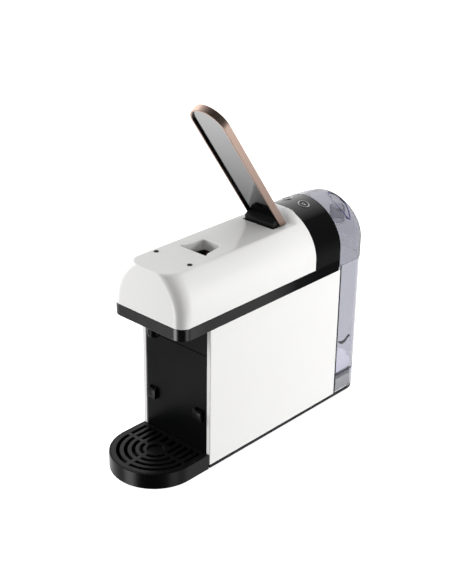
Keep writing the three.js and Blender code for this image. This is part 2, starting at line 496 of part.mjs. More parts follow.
// ---------------------------------------------------------------- tank dock, tank and lid
{
  let m = prism(tankOutline(TANK_HALF - 3.2, 233.2, TANK_REAR - 3.2, TANK_R - 3, 7), BASE_Z1 + GAP, 24.2)
    .subtract(prism(tankOutline(TANK_HALF - 5.6, 235.6, TANK_REAR - 5.6, TANK_R - 5, 7), 0, 21.8));
  m = m.add(rod([0, 254, 10], [0, 254, 25.6], 9, 24)).subtract(rod([0, 254, 19], [0, 254, 30], 6.4, 24));
  m = m.add(rod([0, 230.4, 20], [0, 246, 20], 3.9, 18)).subtract(rod([0, 228, 20], [0, 256, 20], 2.0, 14));
  add('tank_dock', m, 0x202022, 0.5);
}
add('dock_seal', new THREE.LatheGeometry([[4.6, 19.5], [6.1, 19.5], [6.1, 24.5], [4.6, 24.5], [4.6, 19.5]].map(q => new THREE.Vector2(q[0], q[1])), 24)
  .rotateX(Math.PI / 2).translate(0, 254, 0), 0x7d2a22, 0.7);
{
  const o = tankOutline(TANK_HALF, TANK_FRONT, TANK_REAR, TANK_R, 9);
  const i = tankOutline(TANK_HALF - TANK_WALL, TANK_FRONT + TANK_WALL, TANK_REAR - TANK_WALL, TANK_R - TANK_WALL, 9);
  let m = prism(o, TANK_Z0, TANK_Z1).subtract(prism(i, TANK_FLOOR + TANK_WALL, TANK_Z1 + 5)).subtract(prism(i, TANK_Z0 - 5, TANK_FLOOR));
  m = m.subtract(rod([0, 254, 20], [0, 254, 40], 6.4, 24));
  m = m.subtract(box(-8, 8, 228, 234, 0, 26.5));
  // shoulder that reaches forward under the lid, over the rear edge of the casing
  m = m.add(box(-TANK_HALF, TANK_HALF, LID_FRONT, TANK_FRONT + 1.5, TRIM_Z0 + GAP, TANK_Z1))
    .subtract(box(-TANK_HALF + TANK_WALL, TANK_HALF - TANK_WALL, LID_FRONT + TANK_WALL, TANK_FRONT + 5, TRIM_Z0 + GAP + 1.8, TANK_Z1 + 4));
  add('tank_body', m, CLEAR, 0.05);
}
{
  const p = [[0, 27.0], [2.2, 27.0], [2.2, 30.4], [6.0, 30.4], [6.0, 33.5], [8.2, 33.5], [8.2, 36.5], [4.4, 38.5], [4.4, 44], [0, 45]].map(q => new THREE.Vector2(q[0], q[1]));
  let v = solid(new THREE.LatheGeometry(p, 24).rotateX(Math.PI / 2).translate(0, 254, 0));
  v = v.add(rod([0, 254, 20.2], [0, 254, 28], 4.2, 20));
  add('tank_valve', v, 0xd9d9dc, 0.4);
}
{
  // crest height and half width of the lid's dome along its depth
  const crest = (y) => {
    const z = 264.3 - (y - 224) * 0.045;
    if (y <= 252) return z;
    const k = Math.min((y - 252) / 29.8, 1);
    return 263.04 - 29.5 * (1 - Math.pow(1 - Math.pow(k, 2.25), 1 / 2.25));
  };
  const halfAt = (y) => {
    const yc = TANK_REAR - TANK_R;
    if (y <= yc) return HEAD_HALF;
    return HEAD_HALF - TANK_R + Math.sqrt(Math.max(0, TANK_R * TANK_R - (y - yc) * (y - yc)));
  };
  const ys = [LID_FRONT, 238, 250, 257.8, 264, 269, 273, 276.3, 278.8, 280.5, 281.5, TANK_REAR];
  const ring = (y, off, yy) => {
    const w = halfAt(y) - off, top = crest(y) - off, zv = ARCH_Z, out = [];
    const z0 = TANK_Z1 + GAP - (off ? 3 : 0);
    out.push([w, yy, z0], [w, yy, (z0 + zv) / 2]);
    const n = 20;
    for (let i = 0; i <= n; i++) {
      const a = Math.PI * i / n, c = Math.cos(a), s = Math.sin(a);
      out.push([Math.sign(c) * w * Math.pow(Math.abs(c), 2 / ARCH_N), yy, zv + (top - zv) * Math.pow(Math.max(s, 0), 2 / ARCH_N)]);
    }
    out.push([-w, yy, (z0 + zv) / 2], [-w, yy, z0]);
    return out;
  };
  const outer = loft(ys.map(y => ring(y, 0, y)));
  const yi = [LID_FRONT + 2.2, 238, 250, 257.8, 264, 269, 273, 276.3, 278.6, 279.6];
  const inner = loft(yi.map(y => ring(Math.min(TANK_REAR, y + (y > 257 ? 2.0 * (y - 257) / 22.6 : 0)), 2.2, y)));
  // shallow finger recesses on both shoulders, with the wall following them on the inside
  let room = inner, skin = outer;
  for (const s of [-1, 1]) {
    const dimple = (g) => solid(new THREE.SphereGeometry(1, 20, 12).scale(17 + g, 15 + g, 5 + g).rotateY(s * 32 * DEG).rotateX(-22 * DEG).translate(s * 29, 262, 256.2));
    room = room.subtract(dimple(2.2));
    skin = skin.subtract(dimple(0));
  }
  add('tank_lid', skin.subtract(room), CLEAR, 0.05);
}

// ---------------------------------------------------------------- drip tray and grille
{
  const tray = (h, y1, n = 28) => [[h, y1], [-h, y1], ...arc(0, TRAY_CY, h, 180, 360, n)];
  let m = prism(tray(TRAY_HALF, -0.4), 0, TRAY_TOP - 0.1).subtract(prism(tray(TRAY_HALF - TRAY_WALL, -0.4 - TRAY_WALL), 2.6, TRAY_H - 0.4))
    .subtract(prism(tray(TRAY_HALF - TRAY_WALL + 0.6, -0.4 - TRAY_WALL + 0.6), TRAY_H - 0.5, 30));
  add('drip_tray', m, 0x1d1d1f, 0.35);
  const holes = [];
  const cy = TRAY_CY, sw = 2.2;
  for (const r of [16.5, 25.6, 34.7, 43.8]) {
    const da0 = (2.6 / r) / DEG, da1 = (1.2 / r) / DEG;
    for (const [a0, a1] of [[180 + da1, 270 - da0], [270 + da0, 360 - da1]]) {
      holes.push([...arc(0, cy, r - sw, a0, a1, 8), ...arc(0, cy, r + sw, a1, a0, 8)]);
    }
    for (const s of [-1, 1]) {
      const x = s * r;
      holes.push([[x - sw, cy + 3.4], [x + sw, cy + 3.4], [x + sw, -6.4], [x - sw, -6.4]]);
    }
  }
  for (const s of [-1, 1]) holes.push([[s * 5.6 - 3.0, cy + 14.6], [s * 5.6 + 3.0, cy + 14.6], [s * 5.6 + 3.0, -6.4], [s * 5.6 - 3.0, -6.4]]);
  holes.push(arc(0, cy, 2.2, 0, 330, 11));
  const h = TRAY_HALF - TRAY_WALL + 0.3;
  let g = prism(tray(h, -0.4 - TRAY_WALL + 0.3), TRAY_H - 0.2, TRAY_TOP);
  for (const q of holes) g = g.subtract(prism(q, TRAY_H - 3, TRAY_TOP + 3));
  g = g.subtract(rod([0, cy, TRAY_TOP - 1.3], [0, cy, 30], 9.8, 28));
  add('drip_grille', g, 0x39393b, 0.45);
}

export default group;
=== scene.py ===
import json
import math

import bmesh
import bpy
from mathutils import Matrix, Vector


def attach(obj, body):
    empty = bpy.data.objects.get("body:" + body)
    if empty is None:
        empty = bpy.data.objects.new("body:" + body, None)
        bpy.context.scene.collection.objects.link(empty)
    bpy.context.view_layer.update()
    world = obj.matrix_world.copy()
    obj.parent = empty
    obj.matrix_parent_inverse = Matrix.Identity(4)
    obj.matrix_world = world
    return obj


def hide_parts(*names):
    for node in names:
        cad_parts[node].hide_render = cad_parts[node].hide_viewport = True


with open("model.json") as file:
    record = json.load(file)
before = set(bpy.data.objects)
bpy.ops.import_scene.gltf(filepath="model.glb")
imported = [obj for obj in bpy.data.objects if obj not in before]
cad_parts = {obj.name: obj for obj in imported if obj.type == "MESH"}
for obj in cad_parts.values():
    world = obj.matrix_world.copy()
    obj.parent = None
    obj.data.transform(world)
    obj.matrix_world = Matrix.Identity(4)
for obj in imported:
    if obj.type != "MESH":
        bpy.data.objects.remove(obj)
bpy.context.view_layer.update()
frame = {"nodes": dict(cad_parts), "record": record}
NODES = frame["nodes"]

YC = 96.9
BODY_HALF, PANEL_T, COLUMN_HALF, BODY_REAR = 55.0, 5.7, 48.7, 229.6
HEAD_HALF, HEAD_FRONT = 56.5, -45.7
TRIM_Z0, TRIM_Z1, TRIM_R = 181.7, 196.3, 14.0
BAND_Y0, BAND_Y1 = 178.9, 223.9
ARCH_Z, ARCH_H, ARCH_N = 209.9, 54.35, 1.88
FLAT_Z, FLAT_FRONT, FLAT_R, DECK_END = 252.4, -43.0, 19.0, 163.0
SLOT_Y0, SLOT_Y1, SLOT_HALF_F, SLOT_HALF_R, CHUTE_Z = 27.0, 60.0, 20.4, 13.6, 239.5
HINGE_Y, HINGE_Z, LEVER_OPEN = 148.1, 252.0, 54.9
LEVER_HALF, LEVER_LEN, LEVER_V0, LEVER_V1 = 24.6, 193.2, 1.1, 10.3
PANEL_V, PANEL_U, SADDLE_V = 3.9, 10.8, 6.5
TRAY_HALF, TRAY_CY, TRAY_H, TRAY_TOP, TRAY_WALL = 54.0, -34.0, 17.2, 20.1, 2.4
TANK_HALF, TANK_REAR, TANK_R, TANK_FRONT, TANK_WALL = 55.4, 281.8, 24.0, 230.2, 2.2
TANK_Z0, TANK_FLOOR, TANK_Z1, LID_FRONT = 6.4, 31.0, 186.3, 224.4
BUTTON_X, BUTTON_Y, BUTTON_R = 13.3, 204.0, 5.6


def to_row(p):
    return Vector((p[0] / 1000, (p[1] - YC) / 1000, p[2] / 1000))


# ------------------------------------------------------------------ materials
def new_material(name):
    m = bpy.data.materials.new(name)
    m.use_nodes = True
    t = m.node_tree
    return m, t, t.nodes["Principled BSDF"]


def link(t, a, b):
    t.links.new(a, b)


def noise(t, scale, detail=3.0, rough=0.5, stretch=(1, 1, 1)):
    tc = t.nodes.new("ShaderNodeTexCoord")
    mp = t.nodes.new("ShaderNodeMapping")
    mp.inputs["Scale"].default_value = stretch
    n = t.nodes.new("ShaderNodeTexNoise")
    n.inputs["Scale"].default_value = scale
    n.inputs["Detail"].default_value = detail
    n.inputs["Roughness"].default_value = rough
    link(t, tc.outputs["Object"], mp.inputs["Vector"])
    link(t, mp.outputs["Vector"], n.inputs["Vector"])
    return n.outputs["Fac"]


def spread(t, fac, lo, hi, f0=0.3, f1=0.7):
    r = t.nodes.new("ShaderNodeMapRange")
    r.inputs["From Min"].default_value = f0
    r.inputs["From Max"].default_value = f1
    r.inputs["To Min"].default_value = lo
    r.inputs["To Max"].default_value = hi
    link(t, fac, r.inputs["Value"])
    return r.outputs["Result"]


def two_colours(t, fac, a, b, f0=0.35, f1=0.65):
    ramp = t.nodes.new("ShaderNodeValToRGB")
    ramp.color_ramp.elements[0].position = f0
    ramp.color_ramp.elements[0].color = (*a, 1)
    ramp.color_ramp.elements[1].position = f1
    ramp.color_ramp.elements[1].color = (*b, 1)
    link(t, fac, ramp.inputs["Fac"])
    return ramp.outputs["Color"]


def bump(t, bsdf, fac, strength, distance):
    b = t.nodes.new("ShaderNodeBump")
    b.inputs["Strength"].default_value = strength
    b.inputs["Distance"].default_value = distance
    link(t, fac, b.inputs["Height"])
    link(t, b.outputs["Normal"], bsdf.inputs["Normal"])
    return b


def plastic(name, dark, light, rough, grain=900, relief=0.08, depth=0.0002, spec=0.5, coat=0.0, coat_rough=0.05, metal=0.0):
    m, t, b = new_material(name)
    link(t, two_colours(t, noise(t, 18, 0.0), dark, light, 0.2, 0.8), b.inputs["Base Color"])
    link(t, spread(t, noise(t, 50, 1), rough * 0.92, rough * 1.08, 0.2, 0.8), b.inputs["Roughness"])
    b.inputs["Specular IOR Level"].default_value = spec
    b.inputs["Metallic"].default_value = metal
    b.inputs["Coat Weight"].default_value = coat
    b.inputs["Coat Roughness"].default_value = coat_rough
    bump(t, b, noise(t, grain, 2, 0.6), relief, depth)
    return m


def brushed(name, dark, light, rough, stretch, aniso=0.5, relief=0.12):
    m, t, b = new_material(name)
    streak = noise(t, 700, 4, 0.6, stretch)
    link(t, two_colours(t, streak, dark, light), b.inputs["Base Color"])
    link(t, spread(t, streak, rough * 0.75, rough * 1.3), b.inputs["Roughness"])
    b.inputs["Metallic"].default_value = 1.0
    b.inputs["Anisotropic"].default_value = aniso
    bump(t, b, streak, relief, 0.0001)
    return m


WHITE = plastic("white_gloss_moulding", (0.815, 0.811, 0.800), (0.822, 0.819, 0.809), 0.13, 1100, 0.015, 0.00005, 0.5)
BLACK_GLOSS = plastic("black_gloss_moulding", (0.0030, 0.0030, 0.0034), (0.0042, 0.0042, 0.0047), 0.12, 260, 0.01, 0.00005, 0.42)
BLACK_BAND = plastic("black_band_moulding", (0.0028, 0.0028, 0.0032), (0.0038, 0.0038, 0.0043), 0.14, 260, 0.01, 0.00005, 0.3)


def painted_crest_highlight(m):
    """Painted highlight: the band's specular level is raised towards its crest."""
    t = m.node_tree
    tc = t.nodes.new("ShaderNodeTexCoord")
    sep = t.nodes.new("ShaderNodeSeparateXYZ")
    link(t, tc.outputs["Object"], sep.inputs["Vector"])
    link(t, spread(t, sep.outputs["Z"], 0.04, 0.9, 0.252, 0.2645), t.nodes["Principled BSDF"].inputs["Specular IOR Level"])


painted_crest_highlight(BLACK_BAND)
BLACK_TRIM = plastic("black_trim_moulding", (0.0022, 0.0022, 0.0026), (0.0032, 0.0032, 0.0036), 0.24, 260, 0.01, 0.00005, 0.4)


def painted_trim_rear_shade(m):
    """Painted shade: the trim's specular level falls off towards the back of the head, dimming its reflections there.
    """
    t = m.node_tree
    tc = t.nodes.new("ShaderNodeTexCoord")
    sep = t.nodes.new("ShaderNodeSeparateXYZ")
    link(t, tc.outputs["Object"], sep.inputs["Vector"])
    ramp = t.nodes.new("ShaderNodeValToRGB")
    el = ramp.color_ramp.elements
    el[0].position, el[0].color = 0.0, (0.85, 0.85, 0.85, 1)
    el[1].position, el[1].color = 0.16, (0.40, 0.40, 0.40, 1)
    for pos, v in ((0.60, 0.34), (0.82, 0.03), (1.0, 0.01)):
        e = el.new(pos)
        e.color = (v, v, v, 1)
    link(t, spread(t, sep.outputs["Y"], 0.0, 1.0, -0.1426, 0.09), ramp.inputs["Fac"])
    link(t, ramp.outputs["Color"], t.nodes["Principled BSDF"].inputs["Specular IOR Level"])


painted_trim_rear_shade(BLACK_TRIM)
BLACK_SATIN = plastic("black_satin_moulding", (0.0030, 0.0030, 0.0034), (0.0045, 0.0045, 0.0050), 0.27, 2600, 0.04, 0.00005, 0.24)
# a copy of the black satin with lower specular: painted shade, dimming reflections on the column, drawer and spout that
# sit in the shaded cup bay
BLACK_COLUMN = plastic("black_column_moulding", (0.0026, 0.0026, 0.0030), (0.0038, 0.0038, 0.0042), 0.30, 2600, 0.04, 0.00005, 0.12)
BLACK_KNUCKLE = plastic("black_knuckle_moulding", (0.0040, 0.0040, 0.0044), (0.0062, 0.0062, 0.0068), 0.45, 1800, 0.06, 0.00005, 0.5)
BLACK_GRILLE = plastic("black_grille_moulding", (0.0045, 0.0045, 0.005), (0.0065, 0.0065, 0.007), 0.28, 2200, 0.05, 0.00005, 0.2)
RUBBER = plastic("rubber", (0.010, 0.010, 0.010), (0.022, 0.022, 0.021), 0.75, 1500, 0.3, 0.0003, 0.3)
SEAL = plastic("red_silicone", (0.28, 0.035, 0.02), (0.36, 0.05, 0.03), 0.5, 900, 0.1)
INNER = plastic("fibre_filled_nylon", (0.045, 0.047, 0.05), (0.085, 0.088, 0.092), 0.45, 700, 0.25)
NATURAL = plastic("natural_nylon", (0.62, 0.62, 0.59), (0.72, 0.72, 0.69), 0.42, 500, 0.1)
SILICONE = plastic("silicone_hose", (0.66, 0.63, 0.56), (0.76, 0.73, 0.66), 0.35, 300, 0.1)
CAST = plastic("cast_alloy", (0.46, 0.47, 0.48), (0.64, 0.65, 0.66), 0.42, 500, 0.4, 0.0004, metal=1.0)
BRASS = plastic("satin_brass", (0.52, 0.37, 0.14), (0.68, 0.50, 0.22), 0.30, 500, 0.1, metal=1.0)
STEEL = brushed("brushed_steel", (0.50, 0.51, 0.52), (0.66, 0.67, 0.68), 0.26, (1, 0.06, 1))
RING_METAL = brushed("button_ring_metal", (0.62, 0.62, 0.63), (0.80, 0.80, 0.81), 0.22, (0.5, 1, 0.5))
ICON = plastic("button_print", (0.80, 0.80, 0.80), (0.88, 0.88, 0.88), 0.5, 900, 0.05)


def copper_material():
    m, t, b = new_material("copper_anodised")
    streak = noise(t, 900, 4, 0.6, (1.0, 0.04, 0.04))
    tc = t.nodes.new("ShaderNodeTexCoord")
    sep = t.nodes.new("ShaderNodeSeparateXYZ")
    link(t, tc.outputs["Object"], sep.inputs["Vector"])
    # painted light: the copper is coloured dark at the lever's foot and light towards its tip, standing in for the
    # shade and reflections along the lever
    copper_light_rise = spread(t, sep.outputs["Z"], 0.0, 1.0, 0.262, 0.40)
    copper_shaded_tone = two_colours(t, streak, (0.37, 0.262, 0.222), (0.42, 0.302, 0.258))
    copper_lit_tone = two_colours(t, streak, (0.80, 0.58, 0.48), (0.87, 0.645, 0.54))
    mix = t.nodes.new("ShaderNodeMix")
    mix.data_type = "RGBA"
    link(t, copper_light_rise, mix.inputs["Factor"])
    link(t, copper_shaded_tone, mix.inputs[6])
    link(t, copper_lit_tone, mix.inputs[7])
    link(t, mix.outputs[2], b.inputs["Base Color"])
    link(t, spread(t, streak, 0.24, 0.36), b.inputs["Roughness"])
    b.inputs["Metallic"].default_value = 1.0
    b.inputs["Anisotropic"].default_value = 0.35
    bump(t, b, streak, 0.06, 0.0001)
    return m


COPPER = copper_material()


def mirror_material():
    # smoked mirror film, its colour painted dark towards the foot and light towards the tip: painted shade and painted
    # reflection along the lever
    m, t, b = new_material("smoked_mirror")
    tc = t.nodes.new("ShaderNodeTexCoord")
    sep = t.nodes.new("ShaderNodeSeparateXYZ")
    link(t, tc.outputs["Object"], sep.inputs["Vector"])
    cloud = noise(t, 30, 2)
    add = t.nodes.new("ShaderNodeMath")
    add.operation = "MULTIPLY_ADD"
    add.inputs[1].default_value = 0.01
    link(t, cloud, add.inputs[0])
    link(t, sep.outputs["Z"], add.inputs[2])
    h = spread(t, add.outputs[0], 0.0, 1.0, 0.262, 0.42)
    link(t, two_colours(t, h, (0.035, 0.035, 0.037), (0.59, 0.59, 0.595), 0.0, 1.0), b.inputs["Base Color"])
    b.inputs["Metallic"].default_value = 1.0
    link(t, spread(t, cloud, 0.10, 0.15), b.inputs["Roughness"])
    bump(t, b, noise(t, 300, 2), 0.01, 0.0001)
    return m


MIRROR = mirror_material()


def board_material():
    m, t, b = new_material("solder_mask")
    link(t, two_colours(t, noise(t, 250, 4, 0.7), (0.008, 0.07, 0.025), (0.015, 0.15, 0.05)), b.inputs["Base Color"])
    b.inputs["Roughness"].default_value = 0.35
    bump(t, b, noise(t, 400, 2), 0.2, 0.0003)
    return m


BOARD = board_material()


def clear_material(name, tint, absorb=(0.80, 0.81, 0.93), density=16.0, rough=0.02):
    m, t, b = new_material(name)
    link(t, two_colours(t, noise(t, 10, 2), tint, tuple(min(1, c * 1.02) for c in tint)), b.inputs["Base Color"])
    link(t, spread(t, noise(t, 40, 2), rough * 0.7, rough * 1.3), b.inputs["Roughness"])
    b.inputs["Transmission Weight"].default_value = 1.0
    b.inputs["IOR"].default_value = 1.45
    bump(t, b, noise(t, 35, 1), 0.03, 0.0002)
    vol = t.nodes.new("ShaderNodeVolumeAbsorption")
    vol.inputs["Color"].default_value = (*absorb, 1)
    vol.inputs["Density"].default_value = density
    link(t, vol.outputs["Volume"], t.nodes["Material Output"].inputs["Volume"])
    return m


CLEAR = clear_material("clear_tank_moulding", (0.93, 0.93, 0.94), (0.74, 0.74, 0.82), 170.0)


def painted_tank_light_and_shade(m):
    """Painted light and shade on the tank: its lower part is given a paler tint than the wall above it, and its rear
    curve is painted darker.
    """
    t = m.node_tree
    b = t.nodes["Principled BSDF"]
    wall = b.inputs["Base Color"].links[0].from_socket
    tc = t.nodes.new("ShaderNodeTexCoord")
    sep = t.nodes.new("ShaderNodeSeparateXYZ")
    link(t, tc.outputs["Object"], sep.inputs["Vector"])
    mix = t.nodes.new("ShaderNodeMix")
    mix.data_type = "RGBA"
    link(t, spread(t, sep.outputs["Z"], 0.0, 1.0, 0.055, 0.105), mix.inputs["Factor"])
    link(t, two_colours(t, noise(t, 12, 2), (0.94, 0.94, 0.965), (0.96, 0.96, 0.98)), mix.inputs[6])
    link(t, wall, mix.inputs[7])
    tank_rear_painted_shade = t.nodes.new("ShaderNodeMix")
    tank_rear_painted_shade.data_type = "RGBA"
    tank_rear_painted_shade.blend_type = "MULTIPLY"
    tank_rear_painted_shade.inputs["Factor"].default_value = 1.0
    link(t, two_colours(t, spread(t, sep.outputs["Y"], 0.0, 1.0, 0.160, 0.182), (1.0, 1.0, 1.0), (0.74, 0.74, 0.78), 0.0, 1.0), tank_rear_painted_shade.inputs[7])
    link(t, mix.outputs[2], tank_rear_painted_shade.inputs[6])
    link(t, tank_rear_painted_shade.outputs[2], b.inputs["Base Color"])


painted_tank_light_and_shade(CLEAR)
CLEAR_LID = clear_material("clear_lid_moulding", (0.82, 0.82, 0.83), (0.66, 0.66, 0.73), 300.0)

# painted shade: opaque dark blue for thin wires that stand in for the dark refracted edges of the clear mouldings
EDGE_SHADE = plastic("painted_edge_shade", (0.022, 0.020, 0.20), (0.034, 0.030, 0.28), 0.12, 400, 0.02, 0.00005, 0.5)
# painted shadow: dark smoky tone for the plates that stand in for a shadow above each frosted guide
PAD_SHADOW_SMOKE = plastic("painted_pad_shadow", (0.060, 0.060, 0.085), (0.085, 0.085, 0.115), 0.25, 400, 0.02, 0.00005, 0.4)


def frosted_material():
    m, t, b = new_material("frosted_moulding")
    link(t, two_colours(t, noise(t, 60, 1), (0.83, 0.83, 0.88), (0.88, 0.88, 0.93), 0.2, 0.8), b.inputs["Base Color"])
    link(t, spread(t, noise(t, 90, 2), 0.32, 0.42), b.inputs["Roughness"])
    b.inputs["Transmission Weight"].default_value = 0.35
    b.inputs["IOR"].default_value = 1.2
    # painted light: the frosted parts glow faintly so that they read lighter inside the tank
    b.inputs["Emission Color"].default_value = (0.95, 0.95, 1.0, 1)
    b.inputs["Emission Strength"].default_value = 0.22
    bump(t, b, noise(t, 700, 2), 0.08, 0.0001)
    return m


FROST = frosted_material()

SLOT_MATERIAL = {
    "white_casing": WHITE, "black_gloss": BLACK_GLOSS, "black_satin": BLACK_SATIN, "copper_trim": COPPER, "mirror_panel": MIRROR,
    "clear_tank": CLEAR, "rubber": RUBBER, "steel": STEEL, "cast_alloy": CAST, "brass": BRASS, "silicone": SILICONE,
    "red_seal": SEAL, "board": BOARD, "inner_plastic": INNER, "natural_plastic": NATURAL,
}
SLOT_OF = {s["node"]: s["material_slot"] for s in frame["record"]["subparts"]}
BODY_OF = {n: b for b, ns in frame["record"]["behaviour"]["bodies"].items() for n in ns}


# ------------------------------------------------------------------ mesh helpers
class Skin:
    """Collects rings of points in millimetres and the faces between them."""

    def __init__(self):
        self.bm = bmesh.new()

    def ring(self, pts):
        return [self.bm.verts.new(to_row(p)) for p in pts]

    def strip(self, a, b, closed=True):
        n = len(a)
        for i in range(n if closed else n - 1):
            j = (i + 1) % n
            quad = []
            for v in (a[i], a[j], b[j], b[i]):
                if v not in quad:
                    quad.append(v)
            if len(quad) > 2:
                try:
                    self.bm.faces.new(quad)
                except ValueError:
                    pass

    def cap(self, ring):
        self.bm.faces.new(ring)

    def fill(self, *rings):
        """Flat face bounded by the first ring, with the others as holes."""
        edges = []
        for r in rings:
            for i in range(len(r)):
                pair = (r[i], r[(i + 1) % len(r)])
                edges.append(self.bm.edges.get(pair) or self.bm.edges.new(pair))
        bmesh.ops.triangle_fill(self.bm, use_beauty=True, use_dissolve=False, edges=edges)

    def done(self, name, material, body, replaces=(), flat=32, weld=1e-7, bevel=0.0, seg=2, transform=None, weighted=True):
        bm = self.bm
        if transform is not None:
            bmesh.ops.transform(bm, matrix=transform, verts=bm.verts)
        bmesh.ops.remove_doubles(bm, verts=bm.verts, dist=weld)
        bmesh.ops.recalc_face_normals(bm, faces=bm.faces)
        for f in bm.faces:
            f.smooth = True
        limit = math.radians(flat)
        for e in bm.edges:
            if len(e.link_faces) == 2:
                e.smooth = e.calc_face_angle(0) < limit
        me = bpy.data.meshes.new(name)
        bm.to_mesh(me)
        bm.free()
        me.materials.append(material)
        o = bpy.data.objects.new(name, me)
        bpy.context.scene.collection.objects.link(o)
        if bevel:
            mod = o.modifiers.new("edges", "BEVEL")
            mod.width, mod.segments, mod.limit_method, mod.angle_limit = bevel / 1000, seg, "ANGLE", math.radians(30)
            mod.harden_normals = False
        if weighted:
            w = o.modifiers.new("normals", "WEIGHTED_NORMAL")
            w.keep_sharp = True
            w.weight = 60
        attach(o, body)
        if replaces:
            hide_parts(*replaces)
        return o


def offset(loop, d):
    """Moves a counter-clockwise loop inwards by d."""
    n, out = len(loop), []
    for i in range(n):
        p0, p1, p2 = Vector(loop[i - 1][:2]), Vector(loop[i][:2]), Vector(loop[(i + 1) % n][:2])
        a, b = (p1 - p0), (p2 - p1)
        if a.length < 1e-9 or b.length < 1e-9:
            out.append((p1.x, p1.y))
            continue
        a.normalize()
        b.normalize()
        na, nb = Vector((-a.y, a.x)), Vector((-b.y, b.x))
        m = na + nb
        if m.length < 1e-6:
            m = na
        m.normalize()
        k = 1 / max(0.35, m.dot(na))
        q = p1 + m * d * k
        out.append((q.x, q.y))
    return out


def area2(loop):
    return sum(loop[i - 1][0] * loop[i][1] - loop[i][0] * loop[i - 1][1] for i in range(len(loop)))


def ccw(loop):
    return loop if area2(loop) > 0 else loop[::-1]


def arc(cx, cy, r, a0, a1, n):
    return [(cx + r * math.cos(math.radians(a0 + (a1 - a0) * i / n)), cy + r * math.sin(math.radians(a0 + (a1 - a0) * i / n))) for i in range(n + 1)]


def rounded(loop, r, n=4):
    """Rounds every corner of a polygon."""
    out, m = [], len(loop)
    for i in range(m):
        p0, p1, p2 = Vector(loop[i - 1]), Vector(loop[i]), Vector(loop[(i + 1) % m])
        a, b = (p0 - p1), (p2 - p1)
        ra = min(r if not isinstance(r, (list, tuple)) else r[i], a.length * 0.49, b.length * 0.49)
        s, e = p1 + a.normalized() * ra, p1 + b.normalized() * ra
        for k in range(n + 1):
            t = k / n
            q = s * (1 - t) ** 2 + p1 * 2 * t * (1 - t) + e * t * t
            out.append((q.x, q.y))
    return out


def edge_profile(z0, z1, r0, r1, n=3):
    """(inset, height) pairs up an outside wall with rounded lower and upper edges."""
    out = []
    if r0:
        out += [(r0 - r0 * math.sin(math.pi / 2 * k / n), z0 + r0 - r0 * math.cos(math.pi / 2 * k / n)) for k in range(n)]
    out.append((0.0, z0 + r0))
    out.append((0.0, z1 - r1))
    if r1:
        out += [(r1 - r1 * math.cos(math.pi / 2 * k / n), z1 - r1 + r1 * math.sin(math.pi / 2 * k / n)) for k in range(1, n + 1)]
    return out


def body(skin, outline, prof, holes=(), hr=0.4, place=lambda u, v, w: (u, v, w), n=2):
    """Closed body. prof runs from the edge of the lower flat face, round the outside, to the edge of the upper flat face."""
    outline = ccw(outline)
    rings = [skin.ring([place(u, v, w) for u, v in offset(outline, ins)]) for ins, w in prof]
    for a, b in zip(rings, rings[1:]):
        skin.strip(a, b)
    lows, highs = [rings[0]], [rings[-1]]
    z0, z1 = prof[0][1], prof[-1][1]
    up = 1 if z1 > z0 else -1
    for h in holes:
        h = ccw(h)
        hp = [(-hr + hr * math.sin(math.pi / 2 * k / n), z0 + up * (hr - hr * math.cos(math.pi / 2 * k / n))) for k in range(n + 1)]
        hp += [(-hr + hr * math.cos(math.pi / 2 * k / n), z1 - up * (hr - hr * math.sin(math.pi / 2 * k / n))) for k in range(n + 1)]
        hr_rings = [skin.ring([place(u, v, w) for u, v in offset(h, ins)]) for ins, w in hp]
        for a, b in zip(hr_rings, hr_rings[1:]):
            skin.strip(a, b)
        lows.append(hr_rings[0])
        highs.append(hr_rings[-1])
    skin.fill(*lows)
    skin.fill(*highs)
    return rings


def lathe(skin, prof, n, axis_point, axis=(0, 0, 1), ref=(1, 0, 0)):
    """Turned body: prof is (radius, height) pairs, from axis to axis or closed on itself."""
    a = Vector(axis).normalized()
    x = Vector(ref)
    x = (x - a * x.dot(a)).normalized()
    y = a.cross(x)
    c = Vector(axis_point)
    rings = []
    for r, h in prof:
        if r < 1e-6:
            v = skin.ring([tuple(c + a * h)])[0]
            rings.append([v] * n)
        else:
            rings.append(skin.ring([tuple(c + a * h + (x * math.cos(2 * math.pi * i / n) + y * math.sin(2 * math.pi * i / n)) * r) for i in range(n)]))
    closed = prof[0][0] > 1e-6 and prof[-1][0] > 1e-6
    seq = rings + ([rings[0]] if closed else [])
    for p, q in zip(seq, seq[1:]):
        skin.strip(p, q)


def round_profile(pts, r, n=3, closed=False):
    """Rounds the inner corners of an open (radius, height) profile."""
    m, out = len(pts), []
    for i in range(m):
        if not closed and i in (0, m - 1):
            out.append(pts[i])
            continue
        p0, p1, p2 = Vector(pts[i - 1]), Vector(pts[i]), Vector(pts[(i + 1) % m])
        a, b = p0 - p1, p2 - p1
        ra = min(r, a.length * 0.45, b.length * 0.45)
        s, e = p1 + a.normalized() * ra, p1 + b.normalized() * ra
        for k in range(n + 1):
            t = k / n
            q = s * (1 - t) ** 2 + p1 * 2 * t * (1 - t) + e * t * t
            out.append((q.x, q.y))
    return out


def sweep(skin, path, section, caps=True):
    """path: (point, side, up) triples; section: closed loop of (side, up) pairs."""
    rings = []
    for p, s, u in path:
        rings.append(skin.ring([tuple(Vector(p) + Vector(s) * a + Vector(u) * b) for a, b in section]))
    for a, b in zip(rings, rings[1:]):
        skin.strip(a, b)
    if caps:
        skin.cap(rings[0])
        skin.cap(rings[-1])
    return rings


def arch_half(z, half=HEAD_HALF, h=ARCH_H):
    if z <= ARCH_Z:
        return half
    t = min((z - ARCH_Z) / h, 0.99999)
    return half * (1 - t ** ARCH_N) ** (1 / ARCH_N)


def arch_z(x, half=HEAD_HALF):
    return ARCH_Z + ARCH_H * max(0.0, 1 - (abs(x) / half) ** ARCH_N) ** (1 / ARCH_N)


